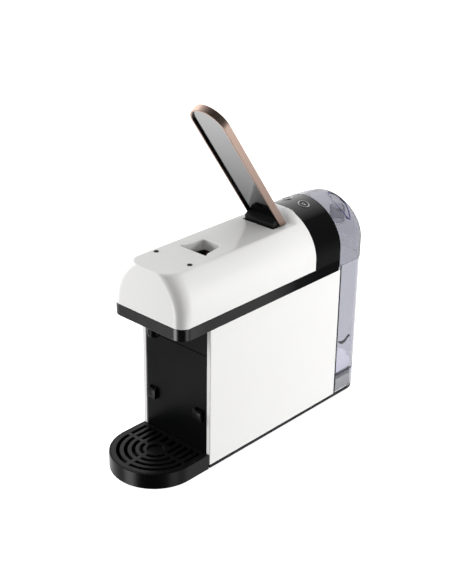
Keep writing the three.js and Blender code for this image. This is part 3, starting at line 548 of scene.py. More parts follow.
def cut_with(obj, cutters):
    """Cuts the given closed meshes out of obj and keeps the result as its mesh."""
    for c in cutters:
        mod = obj.modifiers.new("cut", "BOOLEAN")
        mod.operation, mod.solver, mod.object = "DIFFERENCE", "EXACT", c
        bpy.context.view_layer.update()
        dg = bpy.context.evaluated_depsgraph_get()
        me = bpy.data.meshes.new_from_object(obj.evaluated_get(dg))
        obj.modifiers.remove(mod)
        old = obj.data
        obj.data = me
        bpy.data.meshes.remove(old)
    for c in cutters:
        bpy.data.objects.remove(c)


def loose(skin, name):
    bmesh.ops.recalc_face_normals(skin.bm, faces=skin.bm.faces)
    me = bpy.data.meshes.new(name)
    skin.bm.to_mesh(me)
    skin.bm.free()
    o = bpy.data.objects.new(name, me)
    bpy.context.scene.collection.objects.link(o)
    return o


# ------------------------------------------------------------------ outlines
def head_outline(w, yf, yr, r, n=14, side=()):
    r = min(r, w - 0.6)
    return [(-w, yr)] + [(-w, y) for y in side] + arc(-w + r, yf + r, r, 180, 270, n) + arc(w - r, yf + r, r, 270, 360, n) + [(w, y) for y in reversed(side)] + [(w, yr)]


def tank_outline(w, yf, yr, r, n=14):
    return [(-w, yf), (w, yf)] + arc(w - r, yr - r, r, 0, 90, n) + arc(-w + r, yr - r, r, 90, 180, n)


def tray_outline(h, y1, n=72):
    return [(h, y1), (-h, y1)] + arc(0, TRAY_CY, h, 180, 360, n)


# ------------------------------------------------------------------ base plate, panels, column
k = Skin()
body(k, tank_outline(BODY_HALF, 0.4, TANK_REAR - 0.4, TANK_R, 20), edge_profile(1.5, 5.5, 0.7, 0.5))
k.done("base_moulding", BLACK_SATIN, "root", ("base_plate",))

for name, s in (("left", -1), ("right", 1)):
    k = Skin()
    outline = rounded([(0, 5.8), (BODY_REAR, 5.8), (BODY_REAR, 181.4), (0, 181.4)], 1.0, 4)
    hole = [(205 + 6.3 * math.cos(a * math.pi / 24), 20 + 6.3 * math.sin(a * math.pi / 24)) for a in range(48)]
    inner, outer = (BODY_HALF - PANEL_T) * s, BODY_HALF * s
    prof = [(0.5, inner), (0.0, inner + 0.5 * s)] + [(0.9 - 0.9 * math.cos(math.pi / 2 * q / 4), outer - s * (0.9 - 0.9 * math.sin(math.pi / 2 * q / 4))) for q in range(5)]
    body(k, outline, prof, [hole] if s < 0 else [], 0.5, place=lambda u, v, w: (w, u, v))
    k.done("side_casing_" + name, WHITE, "root", ("side_panel_" + name,))

k = Skin()
lathe(k, round_profile([(2.2, -0.9), (5.6, -0.9), (5.9, 0.6), (5.9, 6.6), (7.6, 6.6), (7.6, 8.4), (2.2, 8.4)], 0.5, 3, True), 48, (-BODY_HALF, 205, 20), (1, 0, 0), (0, 0, 1))
k.done("lead_grommet", RUBBER, "root", ("cord_gland",))

k = Skin()
body(k, rounded([(-COLUMN_HALF, 146.4), (COLUMN_HALF, 146.4), (COLUMN_HALF, 181.4), (-COLUMN_HALF, 181.4)], 0.8), edge_profile(-3.9, -0.6, 0.3, 0.5), place=lambda u, v, w: (u, -w, v))
k.done("column_fascia", BLACK_COLUMN, "root", ("front_fascia",))

# used-capsule bin: open box with a crisp front, and two hooks that the drip tray stands against
k = Skin()
h, z0, z1 = COLUMN_HALF - 0.2, 6.1, 145.7
bo = rounded([(-h, 0.6), (h, 0.6), (h, 104), (-h, 104)], [0.8, 0.8, 3, 3], 4)
body(k, bo, edge_profile(z0, z1, 0.6, 0.4) + [(1.8, z1), (2.2, z1 - 0.4), (2.2, z0 + 2.8), (2.6, z0 + 2.4)])
k.done("capsule_drawer", BLACK_COLUMN, "bin", ("capsule_bin",))
for name, s in (("left", -1), ("right", 1)):
    k = Skin()
    a, b = (31, 43.5) if s > 0 else (-43.5, -31)
    prof = rounded([(0.9, 60), (0.9, 74.5), (-1.6, 74.5), (-4.8, 72.5), (-4.8, 61.5), (-3.6, 60)][::-1], 0.6, 3)
    body(k, prof, edge_profile(a, b, 0.5, 0.5), place=lambda u, v, w: (w, u, v))
    hook = k.done("tray_hook_" + name, BLACK_SATIN, "bin", weighted=False)
    c = Skin()
    body(c, [(-3.0, 66.5), (0.2, 66.5), (0.2, 80), (-3.0, 80)], [(0, a + 2), (0, b - 2)], place=lambda u, v, w: (w, u, v))
    cut_with(hook, [loose(c, "cutter")])

# ------------------------------------------------------------------ head: black trim tray
k = Skin()
trim = head_outline(HEAD_HALF, HEAD_FRONT, BAND_Y1, TRIM_R, 24, (176, 100, 20))
spout_hole = [(6.4 * math.cos(a * math.pi / 20), -33 + 6.4 * math.sin(a * math.pi / 20)) for a in range(40)]
drop_hole = rounded([(-21, 22), (21, 22), (21, 64), (-21, 64)], 2.0)
body(k, trim, edge_profile(TRIM_Z0, TRIM_Z1, 0.9, 0.35) + [(2.0, TRIM_Z1), (2.4, TRIM_Z1 - 0.5), (2.4, TRIM_Z0 + 3.3), (2.7, TRIM_Z0 + 3)], [spout_hole, drop_hole], 0.4)
k.done("trim_moulding", BLACK_TRIM, "root", ("head_trim",))

# control band: an arch of one section from side to side
arch_pts = []
NA = 96
for i in range(NA + 1):
    a = math.pi * i / NA
    c, s_ = math.cos(a), math.sin(a)
    arch_pts.append((math.copysign(HEAD_HALF * abs(c) ** (2 / ARCH_N), c), ARCH_Z + ARCH_H * max(s_, 0) ** (2 / ARCH_N)))
arch_pts = [(HEAD_HALF, TRIM_Z1 + 0.02), (HEAD_HALF, 201), (HEAD_HALF, 206)] + arch_pts + [(-HEAD_HALF, 206), (-HEAD_HALF, 201), (-HEAD_HALF, TRIM_Z1 + 0.02)]


def normals2(pts):
    out = []
    for i in range(len(pts)):
        a = Vector(pts[max(0, i - 1)])
        b = Vector(pts[min(len(pts) - 1, i + 1)])
        d = (b - a).normalized()
        out.append(Vector((d.y, -d.x)))
    return out


band_path = [((x, 0, z), (0, 1, 0), (n.x, 0, n.y)) for (x, z), n in zip(arch_pts, normals2(arch_pts))]
t = 2.4
er = 0.55
section = [(BAND_Y0, -t), (BAND_Y0, -er)]
section += [(BAND_Y0 + er - er * math.cos(math.pi / 2 * q / 3), -er + er * math.sin(math.pi / 2 * q / 3)) for q in range(1, 4)]
section += [(BAND_Y0 + 10 * q, 0.0) for q in range(1, 5)]
section += [(BAND_Y1 - er + er * math.sin(math.pi / 2 * q / 3), -er + er * math.cos(math.pi / 2 * q / 3)) for q in range(0, 4)]
section += [(BAND_Y1, -t)]
k = Skin()
sweep(k, band_path, section)
band = k.done("band_moulding", BLACK_BAND, "root", ("control_band",), weighted=False)
cutters = []
for s in (-1, 1):
    ang = math.atan(0.278) * s
    nrm = Vector((math.sin(ang), 0, math.cos(ang)))
    c = Skin()
    lathe(c, [(0, -8), (7.25, -8), (7.25, 5), (0, 5)], 64, (s * BUTTON_X, BUTTON_Y, arch_z(BUTTON_X)), nrm, (0, 1, 0))
    cutters.append(loose(c, "cutter"))
cut_with(band, cutters)
w = band.modifiers.new("normals", "WEIGHTED_NORMAL")
w.keep_sharp = True

# ------------------------------------------------------------------ head: white shell with the capsule chute
SIDE_YS = (175.5, 172, 168, 163, 156, 148, 130, 105, 80, 55, 30, 5, -15)


def shell_ring(z, off=0.0, yr=BAND_Y0 - 0.3):
    q = min(1, max(0, (z - TRIM_Z1) / (FLAT_Z - TRIM_Z1)))
    half = arch_half(z, HEAD_HALF - off, ARCH_H - off)
    yf = HEAD_FRONT + (FLAT_FRONT - HEAD_FRONT) * q + off
    r = TRIM_R + (FLAT_R - TRIM_R) * q - off * 0.6
    return [(x, y, z) for x, y in head_outline(half, yf, yr, r, 20, SIDE_YS)]


def slot_outline(e):
    y0, y1, f, r = SLOT_Y0, SLOT_Y1, SLOT_HALF_F, SLOT_HALF_R
    pts = [(-f - e, y0 - e), (f + e, y0 - e), (f + e, y0 + 2.6), (f - 2.6 + e, y0 + 4.6), (r + e, y1 + e), (-r - e, y1 + e), (-f + 2.6 - e, y0 + 4.6), (-f - e, y0 + 2.6)]
    return rounded(pts, [1.0, 1.0, 1.2, 1.6, 5.0, 5.0, 1.6, 1.2], 6)


k = Skin()
zs = [TRIM_Z1 + 0.3, 200, 204, ARCH_Z - 2, ARCH_Z, 212, 215] + [218 + 2.0 * i for i in range(16)] + [249.6, FLAT_Z - 1.6]
edge_in = shell_ring(TRIM_Z1 + 0.6, 0.0)
rings = [k.ring(shell_ring(z)) for z in zs]
corner = shell_ring(FLAT_Z)
below = shell_ring(FLAT_Z - 1.6)
inset_pts = offset([(p[0], p[1]) for p in corner], 1.7)
for q in range(1, 6):
    tq = q / 5
    pts = []
    for p0, p1, p2 in zip(below, corner, inset_pts):
        f = min(1.0, max(0.0, (170 - p1[1]) / 9))
        A = Vector(p1).lerp(Vector(p0), 1.0)
        if p1[1] >= 171.9:   # under the ramp block the wall runs straight on
            A0, B0, C0 = Vector(p0), Vector(p0).lerp(Vector(p1), 0.5), Vector(p1)
        else:
            A0, B0, C0 = Vector(p0), Vector(p1), Vector(p1).lerp(Vector((p2[0], p2[1], FLAT_Z)), max(f, 0.02))
        pts.append(tuple(A0 * (1 - tq) ** 2 + B0 * 2 * tq * (1 - tq) + C0 * tq * tq))
    rings.append(k.ring(pts))
for a, b in zip(rings, rings[1:]):
    k.strip(a, b)
top = rings[-1]
# indices: 0 is the left rear corner, then the left side from rear to front
li, ri = SIDE_YS.index(172) + 1, len(top) - 2 - SIDE_YS.index(172)


def ramp_front(half, yf):
    """Foot of the ramp at one level, from its left side to its right side, with rounded corners in plan."""
    rr = min(9.0, 0.6 * half)
    left = [(-half + rr + rr * math.cos(math.radians(a)), yf + rr + rr * math.sin(math.radians(a))) for a in range(180, 271, 10)]
    mid_ = [(x * (half - rr), yf) for x in (-0.5, 0.0, 0.5)]
    return left + mid_ + [(-x, y) for x, y in reversed(left)]


deck_ring = top[li:ri + 1]
front = ramp_front(arch_half(FLAT_Z), DECK_END)
bridge = k.ring([(x, y, FLAT_Z) for x, y in reversed(front[1:-1])])
deck_ring_full = deck_ring + bridge
# slot and hinge well
chute_prof = [(-0.9 + 0.9 * math.sin(math.pi / 2 * q / 4), FLAT_Z - (0.9 - 0.9 * math.cos(math.pi / 2 * q / 4))) for q in range(5)] + [(0.0, 246), (0.0, CHUTE_Z)]
slot_rings = [k.ring([(x, y, z) for x, y in offset(ccw(slot_outline(0)), ins)]) for ins, z in chute_prof]
for a, b in zip(slot_rings, slot_rings[1:]):
    k.strip(a, b)
lip = k.ring([(x, y, CHUTE_Z) for x, y in offset(ccw(slot_outline(0)), -1.8)])
k.strip(slot_rings[-1], lip)
lip2 = k.ring([(x, y, FLAT_Z - 2.4) for x, y in offset(ccw(slot_outline(0)), -1.8)])
k.strip(lip, lip2)
well = rounded([(-24, 136.1), (24, 136.1), (24, 158.4), (-24, 158.4)], 1.2, 4)
well_prof = [(-0.5 + 0.5 * math.sin(math.pi / 2 * q / 3), FLAT_Z - (0.5 - 0.5 * math.cos(math.pi / 2 * q / 3))) for q in range(4)] + [(0.0, FLAT_Z - 2.4)]
well_rings = [k.ring([(x, y, z) for x, y in offset(ccw(well), ins)]) for ins, z in well_prof]
for a, b in zip(well_rings, well_rings[1:]):
    k.strip(a, b)
k.fill(deck_ring_full, slot_rings[0], well_rings[0])
# ramp block behind the deck, rising at 45 degrees to the crest
ramp_zs = [FLAT_Z] + [FLAT_Z + 1.0 * i for i in range(1, 10)] + [262.2, 262.9, 263.4, 263.75, 263.98]
prev = None
for z in ramp_zs:
    half = arch_half(z)
    f_pts = [(x, y, z) for x, y in ramp_front(half, DECK_END + (z - FLAT_Z))]
    y_end, y_back = f_pts[0][1], BAND_Y0 - 0.3
    left = [(-half, y_back, z), (-half, y_end + (y_back - y_end) * 0.5303, z)]
    right = [(half, y, z_) for _, y, z_ in reversed(left)]
    ring_pts = left + f_pts + right
    r = k.ring(ring_pts)
    if prev:
        k.strip(prev, r)
    prev = r
k.cap(prev)
# inner skin, so that the shell has a real thickness round its lower edge
low_in = k.ring(shell_ring(TRIM_Z1 + 0.3, 2.4, BAND_Y0 - 2.7))
k.strip(rings[0], low_in)
inner = [low_in] + [k.ring(shell_ring(z, 2.4, BAND_Y0 - 2.7)) for z in (210, 220, 230, 240, 246, FLAT_Z - 2.4)]
for a, b in zip(inner, inner[1:]):
    k.strip(a, b)
k.fill(inner[-1], lip2, well_rings[-1])
bmesh.ops.remove_doubles(k.bm, verts=k.bm.verts, dist=2e-6)
k.done("head_shell", WHITE, "root", ("top_shell",), flat=34)

for name, s in (("left", -1), ("right", 1)):
    k = Skin()
    lathe(k, round_profile([(0, FLAT_Z - 0.5), (2.9, FLAT_Z - 0.5), (2.9, FLAT_Z + 0.6), (0, FLAT_Z + 0.66)], 0.35, 4), 40, (s * 26.2, -3.4, 0))
    k.done("closing_pad_" + name, RUBBER, "root", ("deck_pad_" + name,))

# ------------------------------------------------------------------ lever
LEVER = Matrix.Translation(to_row((0, HINGE_Y, HINGE_Z))) @ Matrix.Rotation(math.radians(-LEVER_OPEN), 4, "X") @ Matrix.Translation(-to_row((0, 0, 0)))


def bar_path(half, u0, u1, n=40, step=8.0):
    """Centre line of the lever's rim from one foot round the tip to the other, with its outward normal."""
    out = []
    r = half
    straight = u1 - half
    m = int((straight - u0) / step)
    for i in range(m):
        out.append(((half, -(u0 + (straight - u0) * i / m), 0), (1, 0, 0)))
    for i in range(n + 1):
        a = -math.pi * i / n
        out.append(((half * math.cos(a), -straight + half * math.sin(a), 0), (math.cos(a), math.sin(a), 0)))
    for i in range(m - 1, -1, -1):
        out.append(((-half, -(u0 + (straight - u0) * i / m), 0), (-1, 0, 0)))
    return out


def bar_outline(half, u0, u1, n=48):
    return [(half, -u0), (-half, -u0)] + arc(0, -(u1 - half), half, 180, 360, n)


def cut_foot(skin, level):
    """Cuts the lever's foot level with the deck."""
    bm = skin.bm
    bmesh.ops.transform(bm, matrix=LEVER, verts=bm.verts)
    geom = bm.verts[:] + bm.edges[:] + bm.faces[:]
    res = bmesh.ops.bisect_plane(bm, geom=geom, plane_co=to_row((0, 0, level)), plane_no=(0, 0, -1), clear_outer=True)
    edges = [e for e in res["geom_cut"] if isinstance(e, bmesh.types.BMEdge)]
    bmesh.ops.edgenet_fill(bm, edges=edges)


mid = LEVER_HALF - 1.0
k = Skin()
sec = rounded([(-1.0, LEVER_V0), (1.0, LEVER_V0), (1.0, LEVER_V1), (-1.0, LEVER_V1)], 0.55, 4)
sweep(k, [(p, n, (0, 0, 1)) for p, n in bar_path(mid, -10, LEVER_LEN - 1.0)], sec)
cut_foot(k, 253.25)
k.done("lever_rim", COPPER, "lever", ("lever_frame",), flat=40)

k = Skin()
body(k, rounded([(-LEVER_HALF + 2.1, 2.2), (LEVER_HALF - 2.1, 2.2), (LEVER_HALF - 2.1, 4.6), (-LEVER_HALF + 2.1, 4.6)], 0.3), edge_profile(SADDLE_V + 0.7, LEVER_V1, 0.3, 0.5), place=lambda u, v, w: (u, v, w))
cut_foot(k, 253.25)
k.done("lever_end_bar", COPPER, "lever", flat=40)

# dark strip on the inner face of the rim, below the mirror panel: painted shade for the rim's shaded inner wall
k = Skin()
sec = rounded([(-0.26, LEVER_V0 + 0.7), (-0.02, LEVER_V0 + 0.7), (-0.02, PANEL_V - 0.1), (-0.26, PANEL_V - 0.1)], 0.08, 2)
sweep(k, [(p, n, (0, 0, 1)) for p, n in bar_path(LEVER_HALF - 2.0, -1, LEVER_LEN - 2.0)], sec)
cut_foot(k, 253.6)
k.done("lever_inner_shade_strip", BLACK_GLOSS, "lever", flat=40)

hc, ec = LEVER_HALF - 2.3, LEVER_LEN - 2.3
k = Skin()
body(k, bar_outline(hc, 1.0, ec), edge_profile(PANEL_V + 1.3, LEVER_V1 - 0.1, 0.2, 0.6))
cover = k.done("lever_top_cover", BLACK_GLOSS, "lever", ("lever_cover",), transform=LEVER)
c = Skin()
body(c, [(-30, -PANEL_U), (30, -PANEL_U), (30, 4), (-30, 4)], [(0, PANEL_V - 2), (0, SADDLE_V + 0.6)])
bmesh.ops.transform(c.bm, matrix=LEVER, verts=c.bm.verts)
cut_with(cover, [loose(c, "cutter")])
k = Skin()
body(k, bar_outline(hc, PANEL_U, ec), edge_profile(PANEL_V, PANEL_V + 1.0, 0.15, 0.1, 2))
k.done("lever_mirror", MIRROR, "lever", ("lever_mirror_panel",), transform=LEVER)

# ------------------------------------------------------------------ buttons
for name, s in (("left", -1), ("right", 1)):
    ang = math.atan(0.278) * s
    nrm = Vector((math.sin(ang), 0, math.cos(ang)))
    c0 = Vector((s * BUTTON_X, BUTTON_Y, arch_z(BUTTON_X)))
    k = Skin()
    lathe(k, round_profile([(6.0, -2.2), (7.1, -2.2), (7.1, 0.35), (6.8, 0.6), (6.2, 0.6), (6.0, 0.35)], 0.18, 3, True), 72, c0, nrm, (0, 1, 0))
    k.done("selector_ring_" + name, RING_METAL, "root", ("button_ring_" + name,))
    k = Skin()
    lathe(k, round_profile([(0, -4.6), (2.2, -4.6), (2.2, -3.2), (BUTTON_R, -3.2), (BUTTON_R, 0.12), (4.9, 0.32), (0, 0.22)], 0.35, 4), 64, c0, nrm, (0, 1, 0))
    k.done("selector_" + name, BLACK_GLOSS, name + "_button", ("button_" + name,))
    # generic cup outline printed on the cap
    ex = Vector((nrm.z, 0, -nrm.x))
    ey = Vector((0, 1, 0))
    size = 1.0 if s < 0 else 1.35
    k = Skin()

    def stroke(pts, wd, close=False):
        m = len(pts)
        for i in range(m if close else m - 1):
            a, b = Vector(pts[i]), Vector(pts[(i + 1) % m])
            d = (b - a).normalized()
            nn = Vector((-d.y, d.x)) * wd / 2
            quad = [a - nn - d * wd / 2, b - nn + d * wd / 2, b + nn + d * wd / 2, a + nn - d * wd / 2]
            lo = k.ring([tuple(c0 + ex * q.x + ey * q.y + nrm * 0.30) for q in quad])
            hi = k.ring([tuple(c0 + ex * q.x + ey * q.y + nrm * 0.36) for q in quad])
            k.strip(lo, hi)
            k.cap(lo)
            k.cap(hi)

    wd = 0.42
    cup = [(-1.6 * size, 1.1 * size), (-1.1 * size, -1.2 * size), (0.9 * size, -1.2 * size), (1.4 * size, 1.1 * size)]
    stroke(cup, wd, True)
    stroke([(1.3 * size, 0.7 * size), (2.1 * size, 0.6 * size), (2.0 * size, -0.3 * size), (1.1 * size, -0.5 * size)], wd)
    k.done("cup_mark_" + name, ICON, name + "_button", flat=20, weighted=False)

# ------------------------------------------------------------------ spout
k = Skin()
lathe(k, round_profile([(3.6, 168.0), (6.6, 168.0), (8.0, 171), (8.3, 179.4), (9.6, 179.4), (9.6, 181.4), (6.0, 181.4), (6.0, 184.6), (3.6, 184.6)], 0.5, 4, True), 64, (0, -33, 0))
k.done("coffee_spout", BLACK_COLUMN, "root", ("spout",))

# ------------------------------------------------------------------ drip tray and grille
k = Skin()
prof = edge_profile(0.0, TRAY_TOP - 0.1, 1.2, 0.6, 4) + [(1.5, TRAY_TOP - 0.1), (1.8, TRAY_TOP - 0.4), (1.8, TRAY_H - 0.5), (2.4, TRAY_H - 0.5), (2.4, 3.4), (3.0, 2.6)]
body(k, tray_outline(TRAY_HALF, -0.4), prof)
k.done("tray_moulding", BLACK_SATIN, "tray", ("drip_tray",))

holes, cy, sw = [], TRAY_CY, 2.2
for r in (16.5, 25.6, 34.7, 43.8):
    da0, da1 = math.degrees(2.6 / r), math.degrees(1.2 / r)
    for a0, a1 in ((180 + da1, 270 - da0), (270 + da0, 360 - da1)):
        holes.append(arc(0, cy, r - sw, a0, a1, 20) + arc(0, cy, r + sw, a1, a0, 20))
    for s in (-1, 1):
        x = s * r
        holes.append(rounded([(x - sw, cy + 3.4), (x + sw, cy + 3.4), (x + sw, -6.4), (x - sw, -6.4)], 0.7, 3))
for s in (-1, 1):
    holes.append(rounded([(s * 5.6 - 3.0, cy + 14.6), (s * 5.6 + 3.0, cy + 14.6), (s * 5.6 + 3.0, -6.4), (s * 5.6 - 3.0, -6.4)], 0.7, 3))
k = Skin()
gh = TRAY_HALF - TRAY_WALL + 0.3
disc = [(9.8 * math.cos(a * math.pi / 24), cy + 9.8 * math.sin(a * math.pi / 24)) for a in range(48)]
body(k, tray_outline(gh, -0.4 - TRAY_WALL + 0.3), edge_profile(TRAY_H - 0.2, TRAY_TOP, 0.2, 0.5), holes + [disc], 0.35)
k.done("tray_grille", BLACK_GRILLE, "grille", ("drip_grille",))
k = Skin()
lathe(k, round_profile([(0, TRAY_H - 0.2), (10.1, TRAY_H - 0.2), (10.1, TRAY_TOP - 1.9), (9.0, TRAY_TOP - 2.1), (0, TRAY_TOP - 2.3)], 0.3, 3), 64, (0, cy, 0))
k.done("grille_dish", BLACK_GRILLE, "grille")

# ------------------------------------------------------------------ clear tank and lid
k = Skin()
prof = [(TANK_WALL, TANK_FLOOR), (TANK_WALL, TANK_Z0 + 0.4), (TANK_WALL - 0.4, TANK_Z0), (0.4, TANK_Z0), (0, TANK_Z0 + 0.4), (0, 60), (0, 120), (0, TANK_Z1 - 0.4), (0.4, TANK_Z1), (TANK_WALL - 0.4, TANK_Z1), (TANK_WALL, TANK_Z1 - 0.4), (TANK_WALL, 120), (TANK_WALL, TANK_FLOOR + 4.5), (TANK_WALL + 0.8, TANK_FLOOR + 2.9), (TANK_WALL + 2.4, TANK_FLOOR + 2.2)]
valve_hole = [(6.4 * math.cos(a * math.pi / 20), 254 + 6.4 * math.sin(a * math.pi / 20)) for a in range(40)]
body(k, tank_outline(TANK_HALF, TANK_FRONT, TANK_REAR, TANK_R, 24), prof, [valve_hole], 0.3)
k.done("water_tank", CLEAR, "tank", ("tank_body",))


def crest(y):
    z = 264.3 - (y - 224) * 0.045
    if y <= 252:
        return z
    q = min((y - 252) / 29.8, 1)
    return 263.04 - 29.5 * (1 - (1 - q ** 2.25) ** (1 / 2.25))


def half_at(y):
    yc = TANK_REAR - TANK_R
    if y <= yc:
        return HEAD_HALF
    return HEAD_HALF - TANK_R + math.sqrt(max(0, TANK_R ** 2 - (y - yc) ** 2))


DIMPLE = [(8.5, 257), (19, 249.5), (33, 248), (44, 251), (45, 255.5), (30, 264), (12, 265.5)]


def inside(poly, x, y):
    """Signed distance to the outline of a convex polygon, positive inside."""
    best = 1e9
    m = len(poly)
    for i in range(m):
        a, b = Vector(poly[i]), Vector(poly[(i + 1) % m])
        d = (b - a).normalized()
        best = min(best, (Vector((x, y)) - a).dot(Vector((-d.y, d.x))))
    return best


def lid_ring(y, off, yy, n=96):
    w, top_, out = half_at(y) - off, crest(y) - off, []
    z0 = TANK_Z1 + 0.3
    out.append((w, yy, z0))
    for q in (0.33, 0.66):
        out.append((w, yy, z0 + (ARCH_Z - z0) * q))
    for i in range(n + 1):
        a = math.pi * i / n
        c, s = math.cos(a), max(math.sin(a), 0)
        x, z = math.copysign(w * abs(c) ** (2 / ARCH_N), c), ARCH_Z + (top_ - ARCH_Z) * s ** (2 / ARCH_N)
        dpt = min(1.0, max(0.0, (inside(DIMPLE, abs(x), yy) + 0.5) / 3.0))
        dpt = dpt * dpt * (3 - 2 * dpt) * 2.4
        nx, nz = x / (w * w), (z - ARCH_Z) / max((top_ - ARCH_Z), 1) ** 2
        ln = math.hypot(nx, nz) or 1
        out.append((x - nx / ln * dpt, yy, z - nz / ln * dpt))
    for q in (0.66, 0.33):
        out.append((-w, yy, z0 + (ARCH_Z - z0) * q))
    out.append((-w, yy, z0))
    return out


ys = [LID_FRONT + 2.0 * i for i in range(17)] + [257.8, 259.5, 261.2, 262.9, 264.6, 266.3, 268, 269.6, 271.1, 272.5, 273.8, 275, 276.1, 277.1, 278, 278.8, 279.5, 280.1, 280.6, 281.0, 281.35, 281.6, 281.76]
ys = sorted(set(y for y in ys if y < 257 or y >= 257.8))
k = Skin()
outer_rings = [k.ring(lid_ring(y, 0, y)) for y in ys]
for a, b in zip(outer_rings, outer_rings[1:]):
    k.strip(a, b, closed=False)
back = outer_rings[-1]
yi = [y for y in ys if LID_FRONT + 2.2 <= y < 279.4]
yi = [LID_FRONT + 2.2] + yi
inner_rings = [k.ring(lid_ring(min(TANK_REAR - 0.3, y + (2.0 * (y - 257) / 22.6 if y > 257 else 0)), 2.2, y)) for y in yi]
for a, b in zip(inner_rings, inner_rings[1:]):
    k.strip(a, b, closed=False)
# lower rim between the two skins, and the end walls
k.cap(back)
k.cap(inner_rings[-1])
k.cap(outer_rings[0])
k.cap(inner_rings[0])
loop_o = [r[0] for r in outer_rings] + [r[-1] for r in reversed(outer_rings)]
loop_i = [r[0] for r in inner_rings] + [r[-1] for r in reversed(inner_rings)]
k.fill(loop_o, loop_i)
k.done("tank_cover", CLEAR_LID, "lid", ("tank_lid",), flat=50)

# details moulded into the clear parts: a rib inside the lid, a post under its recess and two frosted guides in the tank
def wire(name, pts, r, material, rides, closed=False, n=10):
    """A thin round rib through the given points."""
    P = [Vector(q) for q in pts]
    k = Skin()
    m = len(P)
    rings = []
    for i in range(m):
        a, b = (P[i - 1], P[(i + 1) % m]) if closed else (P[max(0, i - 1)], P[min(m - 1, i + 1)])
        d = (b - a).normalized()
        side = d.cross(Vector((0, 0, 1)))
        side = side.normalized() if side.length > 1e-3 else Vector((1, 0, 0))
        up = side.cross(d)
        rings.append(k.ring([tuple(P[i] + side * r * math.cos(2 * math.pi * q / n) + up * r * math.sin(2 * math.pi * q / n)) for q in range(n)]))
    for a, b in zip(rings, rings[1:] + ([rings[0]] if closed else [])):
        k.strip(a, b)
    if not closed:
        k.cap(rings[0])
        k.cap(rings[-1])
    return k.done(name, material, rides, flat=60, weighted=False)


def skin_z(x, y):
    w, top_ = half_at(y), crest(y)
    return ARCH_Z + (top_ - ARCH_Z) * max(0.0, 1 - (abs(x) / w) ** ARCH_N) ** (1 / ARCH_N)


def smooth_path(pts, n=8, closed=False):
    out, m = [], len(pts)
    P = [Vector(q) for q in pts]
    for i in range(m if closed else m - 1):
        p0, p1 = P[i - 1] if (closed or i) else P[0], P[i]
        p2, p3 = P[(i + 1) % m], P[(i + 2) % m] if closed else P[min(m - 1, i + 2)]
        for q in range(n):
            t_ = q / n
            out.append(0.5 * (2 * p1 + (p2 - p0) * t_ + (2 * p0 - 5 * p1 + 4 * p2 - p3) * t_ ** 2 + (3 * p1 - p0 - 3 * p2 + p3) * t_ ** 3))
    return out if closed else out + [P[-1]]


for name, s in (("left", -1), ("right", 1)):
    rim = smooth_path([(x, y, 0) for x, y in DIMPLE], 8, True)
    # painted shade: a dark blue wire outlines the lid's recess
    wire("recess_rim_" + name, [(s * q.x, q.y, skin_z(q.x, q.y) - 0.75) for q in rim], 0.62, EDGE_SHADE, "lid", True)
    arch_rib = smooth_path([(227.6, 228.3), (237, 222.9), (247.7, 214.9), (256.4, 206.9), (261.6, 199.4)], 6)
    wire("lid_rib_" + name, [(s * (arch_half(q.y) - 3.4), q.x, q.y) for q in arch_rib], 0.55, FROST, "lid")
    k = Skin()
    lathe(k, round_profile([(8.2, 231.5), (9.6, 231.5), (9.6, 250.0), (8.2, 250.0)], 0.4, 3, True), 48, (s * 27.5, 251.5, 0))
    k.done("lid_post_" + name, CLEAR_LID, "lid")
    wire("lid_post_foot_" + name, [(s * 27.5 + 8.9 * math.cos(a * math.pi / 24), 251.5 + 8.9 * math.sin(a * math.pi / 24), 230.6) for a in range(48)], 0.6, FROST, "lid", True)
    guide = [(233.8, 33.4), (264.6, 33.4), (263.6, 38.5), (260.6, 46), (257.2, 51), (252.6, 58.4), (246.4, 64.4), (240, 68.4), (233.8, 70.6)]
    k = Skin()
    body(k, rounded(guide, 1.2, 3), edge_profile(s * 50.9, s * 52.4, 0.0, 0.0) if s > 0 else edge_profile(-50.9, -52.4, 0.0, 0.0), place=lambda u, v, w: (w, u, v))
    k.done("tank_guide_" + name, FROST, "tank", flat=40)
    # painted shadow: a thin dark smoky plate above each frosted guide, in place of a shadow on the tank wall
    pad_shadow_outline = rounded([(235.5, 78.4), (239, 74.2), (244, 72.0), (250, 72.8), (254, 76.0), (257.2, 78.2), (260.6, 76.6), (257.4, 81.6), (253.6, 79.6), (249, 76.4), (244, 76.2), (240, 77.6)], 0.5, 3)
    k = Skin()
    body(k, pad_shadow_outline, [(0, s * 51.2), (0, s * 52.2)], place=lambda u, v, w: (w, u, v))
    k.done("tank_pad_shadow_" + name, PAD_SHADOW_SMOKE, "tank", flat=40)
    # painted shade: a dark blue wire along the edge of the tank floor
    wire("tank_floor_edge_" + name, [(s * 53.4, 232.6, TANK_FLOOR - 0.7), (s * 53.4, 244, TANK_FLOOR - 0.7), (s * 53.4, 256, TANK_FLOOR - 0.7)] + [(s * (TANK_HALF - TANK_R + 22.0 * math.cos(math.radians(a))), TANK_REAR - TANK_R + 22.0 * math.sin(math.radians(a)), TANK_FLOOR - 0.7) for a in range(0, 41, 8)], 0.42, EDGE_SHADE, "tank")

# ------------------------------------------------------------------ carried-over nodes: smooth edges and a procedural finish each
for n, o in NODES.items():
    if o.hide_render:
        continue
    o.data.materials.clear()
    o.data.materials.append(BLACK_KNUCKLE if n == "lever_knuckle" else SLOT_MATERIAL[SLOT_OF[n]])
    if o.data.polygons:
        o.data.shade_smooth()
    mod = o.modifiers.new("edges", "BEVEL")
    mod.width, mod.segments, mod.limit_method, mod.angle_limit = 0.0003, 2, "ANGLE", math.radians(35)
    es = o.modifiers.new("sharp", "EDGE_SPLIT")
    es.split_angle = math.radians(35)

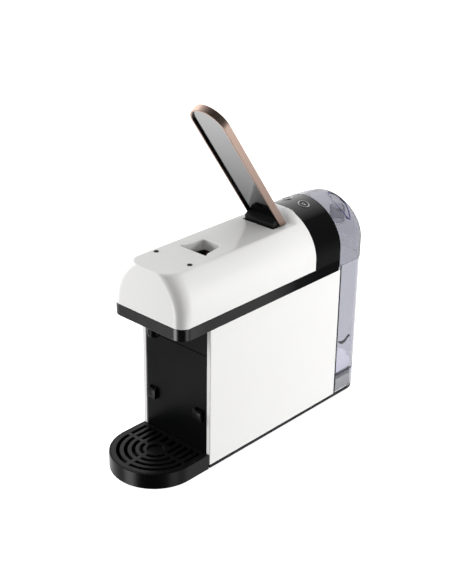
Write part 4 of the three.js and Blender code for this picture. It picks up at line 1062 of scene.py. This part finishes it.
# ------------------------------------------------------------------ floor, light and camera
fb = bmesh.new()
bmesh.ops.create_grid(fb, x_segments=8, y_segments=8, size=40)
bmesh.ops.translate(fb, verts=fb.verts, vec=(0, 0, -0.0001))
fm = bpy.data.meshes.new("floor")
fb.to_mesh(fm)
fb.free()
floor = bpy.data.objects.new("floor", fm)
bpy.context.scene.collection.objects.link(floor)
m, t, b = new_material("pale_floor")
link(t, two_colours(t, noise(t, 3, 2), (0.90, 0.90, 0.90), (0.92, 0.92, 0.92)), b.inputs["Base Color"])
b.inputs["Roughness"].default_value = 0.9
b.inputs["Specular IOR Level"].default_value = 0.1
b.inputs["Emission Color"].default_value = (1, 1, 1, 1)
b.inputs["Emission Strength"].default_value = 0.78
fm.materials.append(m)
floor.visible_glossy = False
floor.visible_diffuse = False
floor.visible_transmission = False

world = bpy.data.worlds.new("studio")
bpy.context.scene.world = world
world.use_nodes = True
wt = world.node_tree
bg = wt.nodes["Background"]


def wnode(kind, **inputs):
    n = wt.nodes.new(kind)
    for key, v in inputs.items():
        n.inputs[int(key[1:])].default_value = v
    return n


def wmath(op, a, b=None, c=None):
    n = wt.nodes.new("ShaderNodeMath")
    n.operation = op
    for i, v in enumerate((a, b, c)):
        if v is None:
            continue
        if isinstance(v, (int, float)):
            n.inputs[i].default_value = v
        else:
            wt.links.new(v, n.inputs[i])
    return n.outputs[0]


def wramp(v, points):
    n = wt.nodes.new("ShaderNodeMapRange")
    n.interpolation_type = "SMOOTHSTEP"
    n.inputs["From Min"].default_value, n.inputs["From Max"].default_value = points[0]
    n.inputs["To Min"].default_value, n.inputs["To Max"].default_value = points[1]
    wt.links.new(v, n.inputs["Value"])
    return n.outputs["Result"]


THROUGH = ((0.05, 0.88), (0.12, 1.0))
MIRRORED = ((-0.35, 0.85), (0.04, 1.15))
SOFT = (0.44, 0.56)
LOBES = (((-0.310, -0.852, -0.423), 20, 4, 4.5), ((0.905, 0.032, -0.423), 18, 4, 1.5), ((-0.75, -0.10, 0.15), 40, 12, 0.35), ((0.614, 0.662, -0.429), 32, 10, 0.45))
wtc = wt.nodes.new("ShaderNodeTexCoord")
wsep = wt.nodes.new("ShaderNodeSeparateXYZ")
wt.links.new(wtc.outputs["Generated"], wsep.inputs[0])
wx, wy, wz = wsep.outputs[0], wsep.outputs[1], wsep.outputs[2]
lp = wt.nodes.new("ShaderNodeLightPath")


def lobe(direction, wide, narrow, peak):
    """A soft bright patch of the studio round a direction, seen in glossy surfaces only."""
    d = Vector(direction).normalized()
    dot = wmath("MULTIPLY_ADD", wz, d.z, wmath("MULTIPLY_ADD", wy, d.y, wmath("MULTIPLY", wx, d.x)))
    return wramp(dot, ((math.cos(math.radians(wide)), math.cos(math.radians(narrow))), (0.0, peak)))


# a studio that is bright behind the object and dark on the side it is looked at from
away = wmath("MULTIPLY_ADD", wy, 0.733, wmath("MULTIPLY", wx, -0.680))
through = wmath("MULTIPLY", lp.outputs["Is Transmission Ray"], wramp(away, THROUGH))
seen = wmath("MAXIMUM", lp.outputs["Is Camera Ray"], lp.outputs["Is Transmission Ray"])
mirrored = wmath("MULTIPLY", wramp(away, MIRRORED), wramp(wz, ((0.3, 0.9), (1.0, 0.6))))
for spot in LOBES:
    mirrored = wmath("ADD", mirrored, lobe(*spot))
soft = wmath("MULTIPLY", wramp(wz, ((-0.2, 0.9), (1.0, 0.62))), wramp(away, ((-0.9, 0.9), SOFT)))
level = wmath("ADD", wmath("MULTIPLY", mirrored, lp.outputs["Is Glossy Ray"]), wmath("MULTIPLY", soft, wmath("SUBTRACT", 1.0, lp.outputs["Is Glossy Ray"])))
strength = wmath("ADD", wmath("MAXIMUM", lp.outputs["Is Camera Ray"], through), wmath("MULTIPLY", level, wmath("SUBTRACT", 1.0, seen)))
wt.links.new(strength, bg.inputs["Strength"])
bg.inputs["Color"].default_value = (1, 1, 1, 1)


def area(name, loc, target, w, h, watts):
    d = bpy.data.lights.new(name, "AREA")
    d.shape, d.size, d.size_y, d.energy = "RECTANGLE", w, h, watts
    o = bpy.data.objects.new(name, d)
    bpy.context.scene.collection.objects.link(o)
    o.location = loc
    o.rotation_mode = "QUATERNION"
    o.rotation_quaternion = (Vector(target) - Vector(loc)).to_track_quat("-Z", "Y")
    o.visible_glossy = False
    return o


def around(azimuth, elevation, distance):
    """A point seen from the object at that compass angle, 0 in front of the cup bay and 90 at its right side."""
    a_, e_ = math.radians(azimuth), math.radians(elevation)
    return (math.sin(a_) * math.cos(e_) * distance, -math.cos(a_) * math.cos(e_) * distance, math.sin(e_) * distance + 0.15)


area("right_softbox", around(124, 5, 1.9), (0, 0.05, 0.15), 0.9, 1.1, 40)
area("left_softbox", around(-60, 8, 1.9), (0, 0.0, 0.15), 1.3, 1.1, 56)
area("top_softbox", (-0.2, 0.5, 2.1), (0, 0.05, 0.2), 1.6, 1.6, 9)

az, el, roll = math.radians(42.84), math.radians(25.43), math.radians(0.74)
back_v = Vector((math.sin(az) * math.cos(el), -math.cos(az) * math.cos(el), math.sin(el)))
right_v = Vector((math.cos(az), math.sin(az), 0))
up_v = back_v.cross(right_v)
c_, s_ = math.cos(roll), math.sin(roll)
r2, u2 = right_v * c_ + up_v * s_, right_v * -s_ + up_v * c_
cd = bpy.data.cameras.new("camera")
cam = bpy.data.objects.new("camera", cd)
bpy.context.scene.collection.objects.link(cam)
cd.sensor_fit = "AUTO"
cd.sensor_width = 36
cd.lens = 74.23
cd.clip_start, cd.clip_end = 0.05, 50
target = Vector((-0.139186, 0.136388, 0.084570))
cam.matrix_world = Matrix.Translation(target + back_v * 1.6362) @ Matrix((r2, u2, back_v)).transposed().to_4x4()
bpy.context.scene.camera = cam

sc = bpy.context.scene
sc.view_settings.view_transform = "Standard"
sc.view_settings.look = "None"
sc.cycles.use_denoising = True
sc.cycles.max_bounces = 14
sc.cycles.transmission_bounces = 12
sc.cycles.transparent_max_bounces = 12
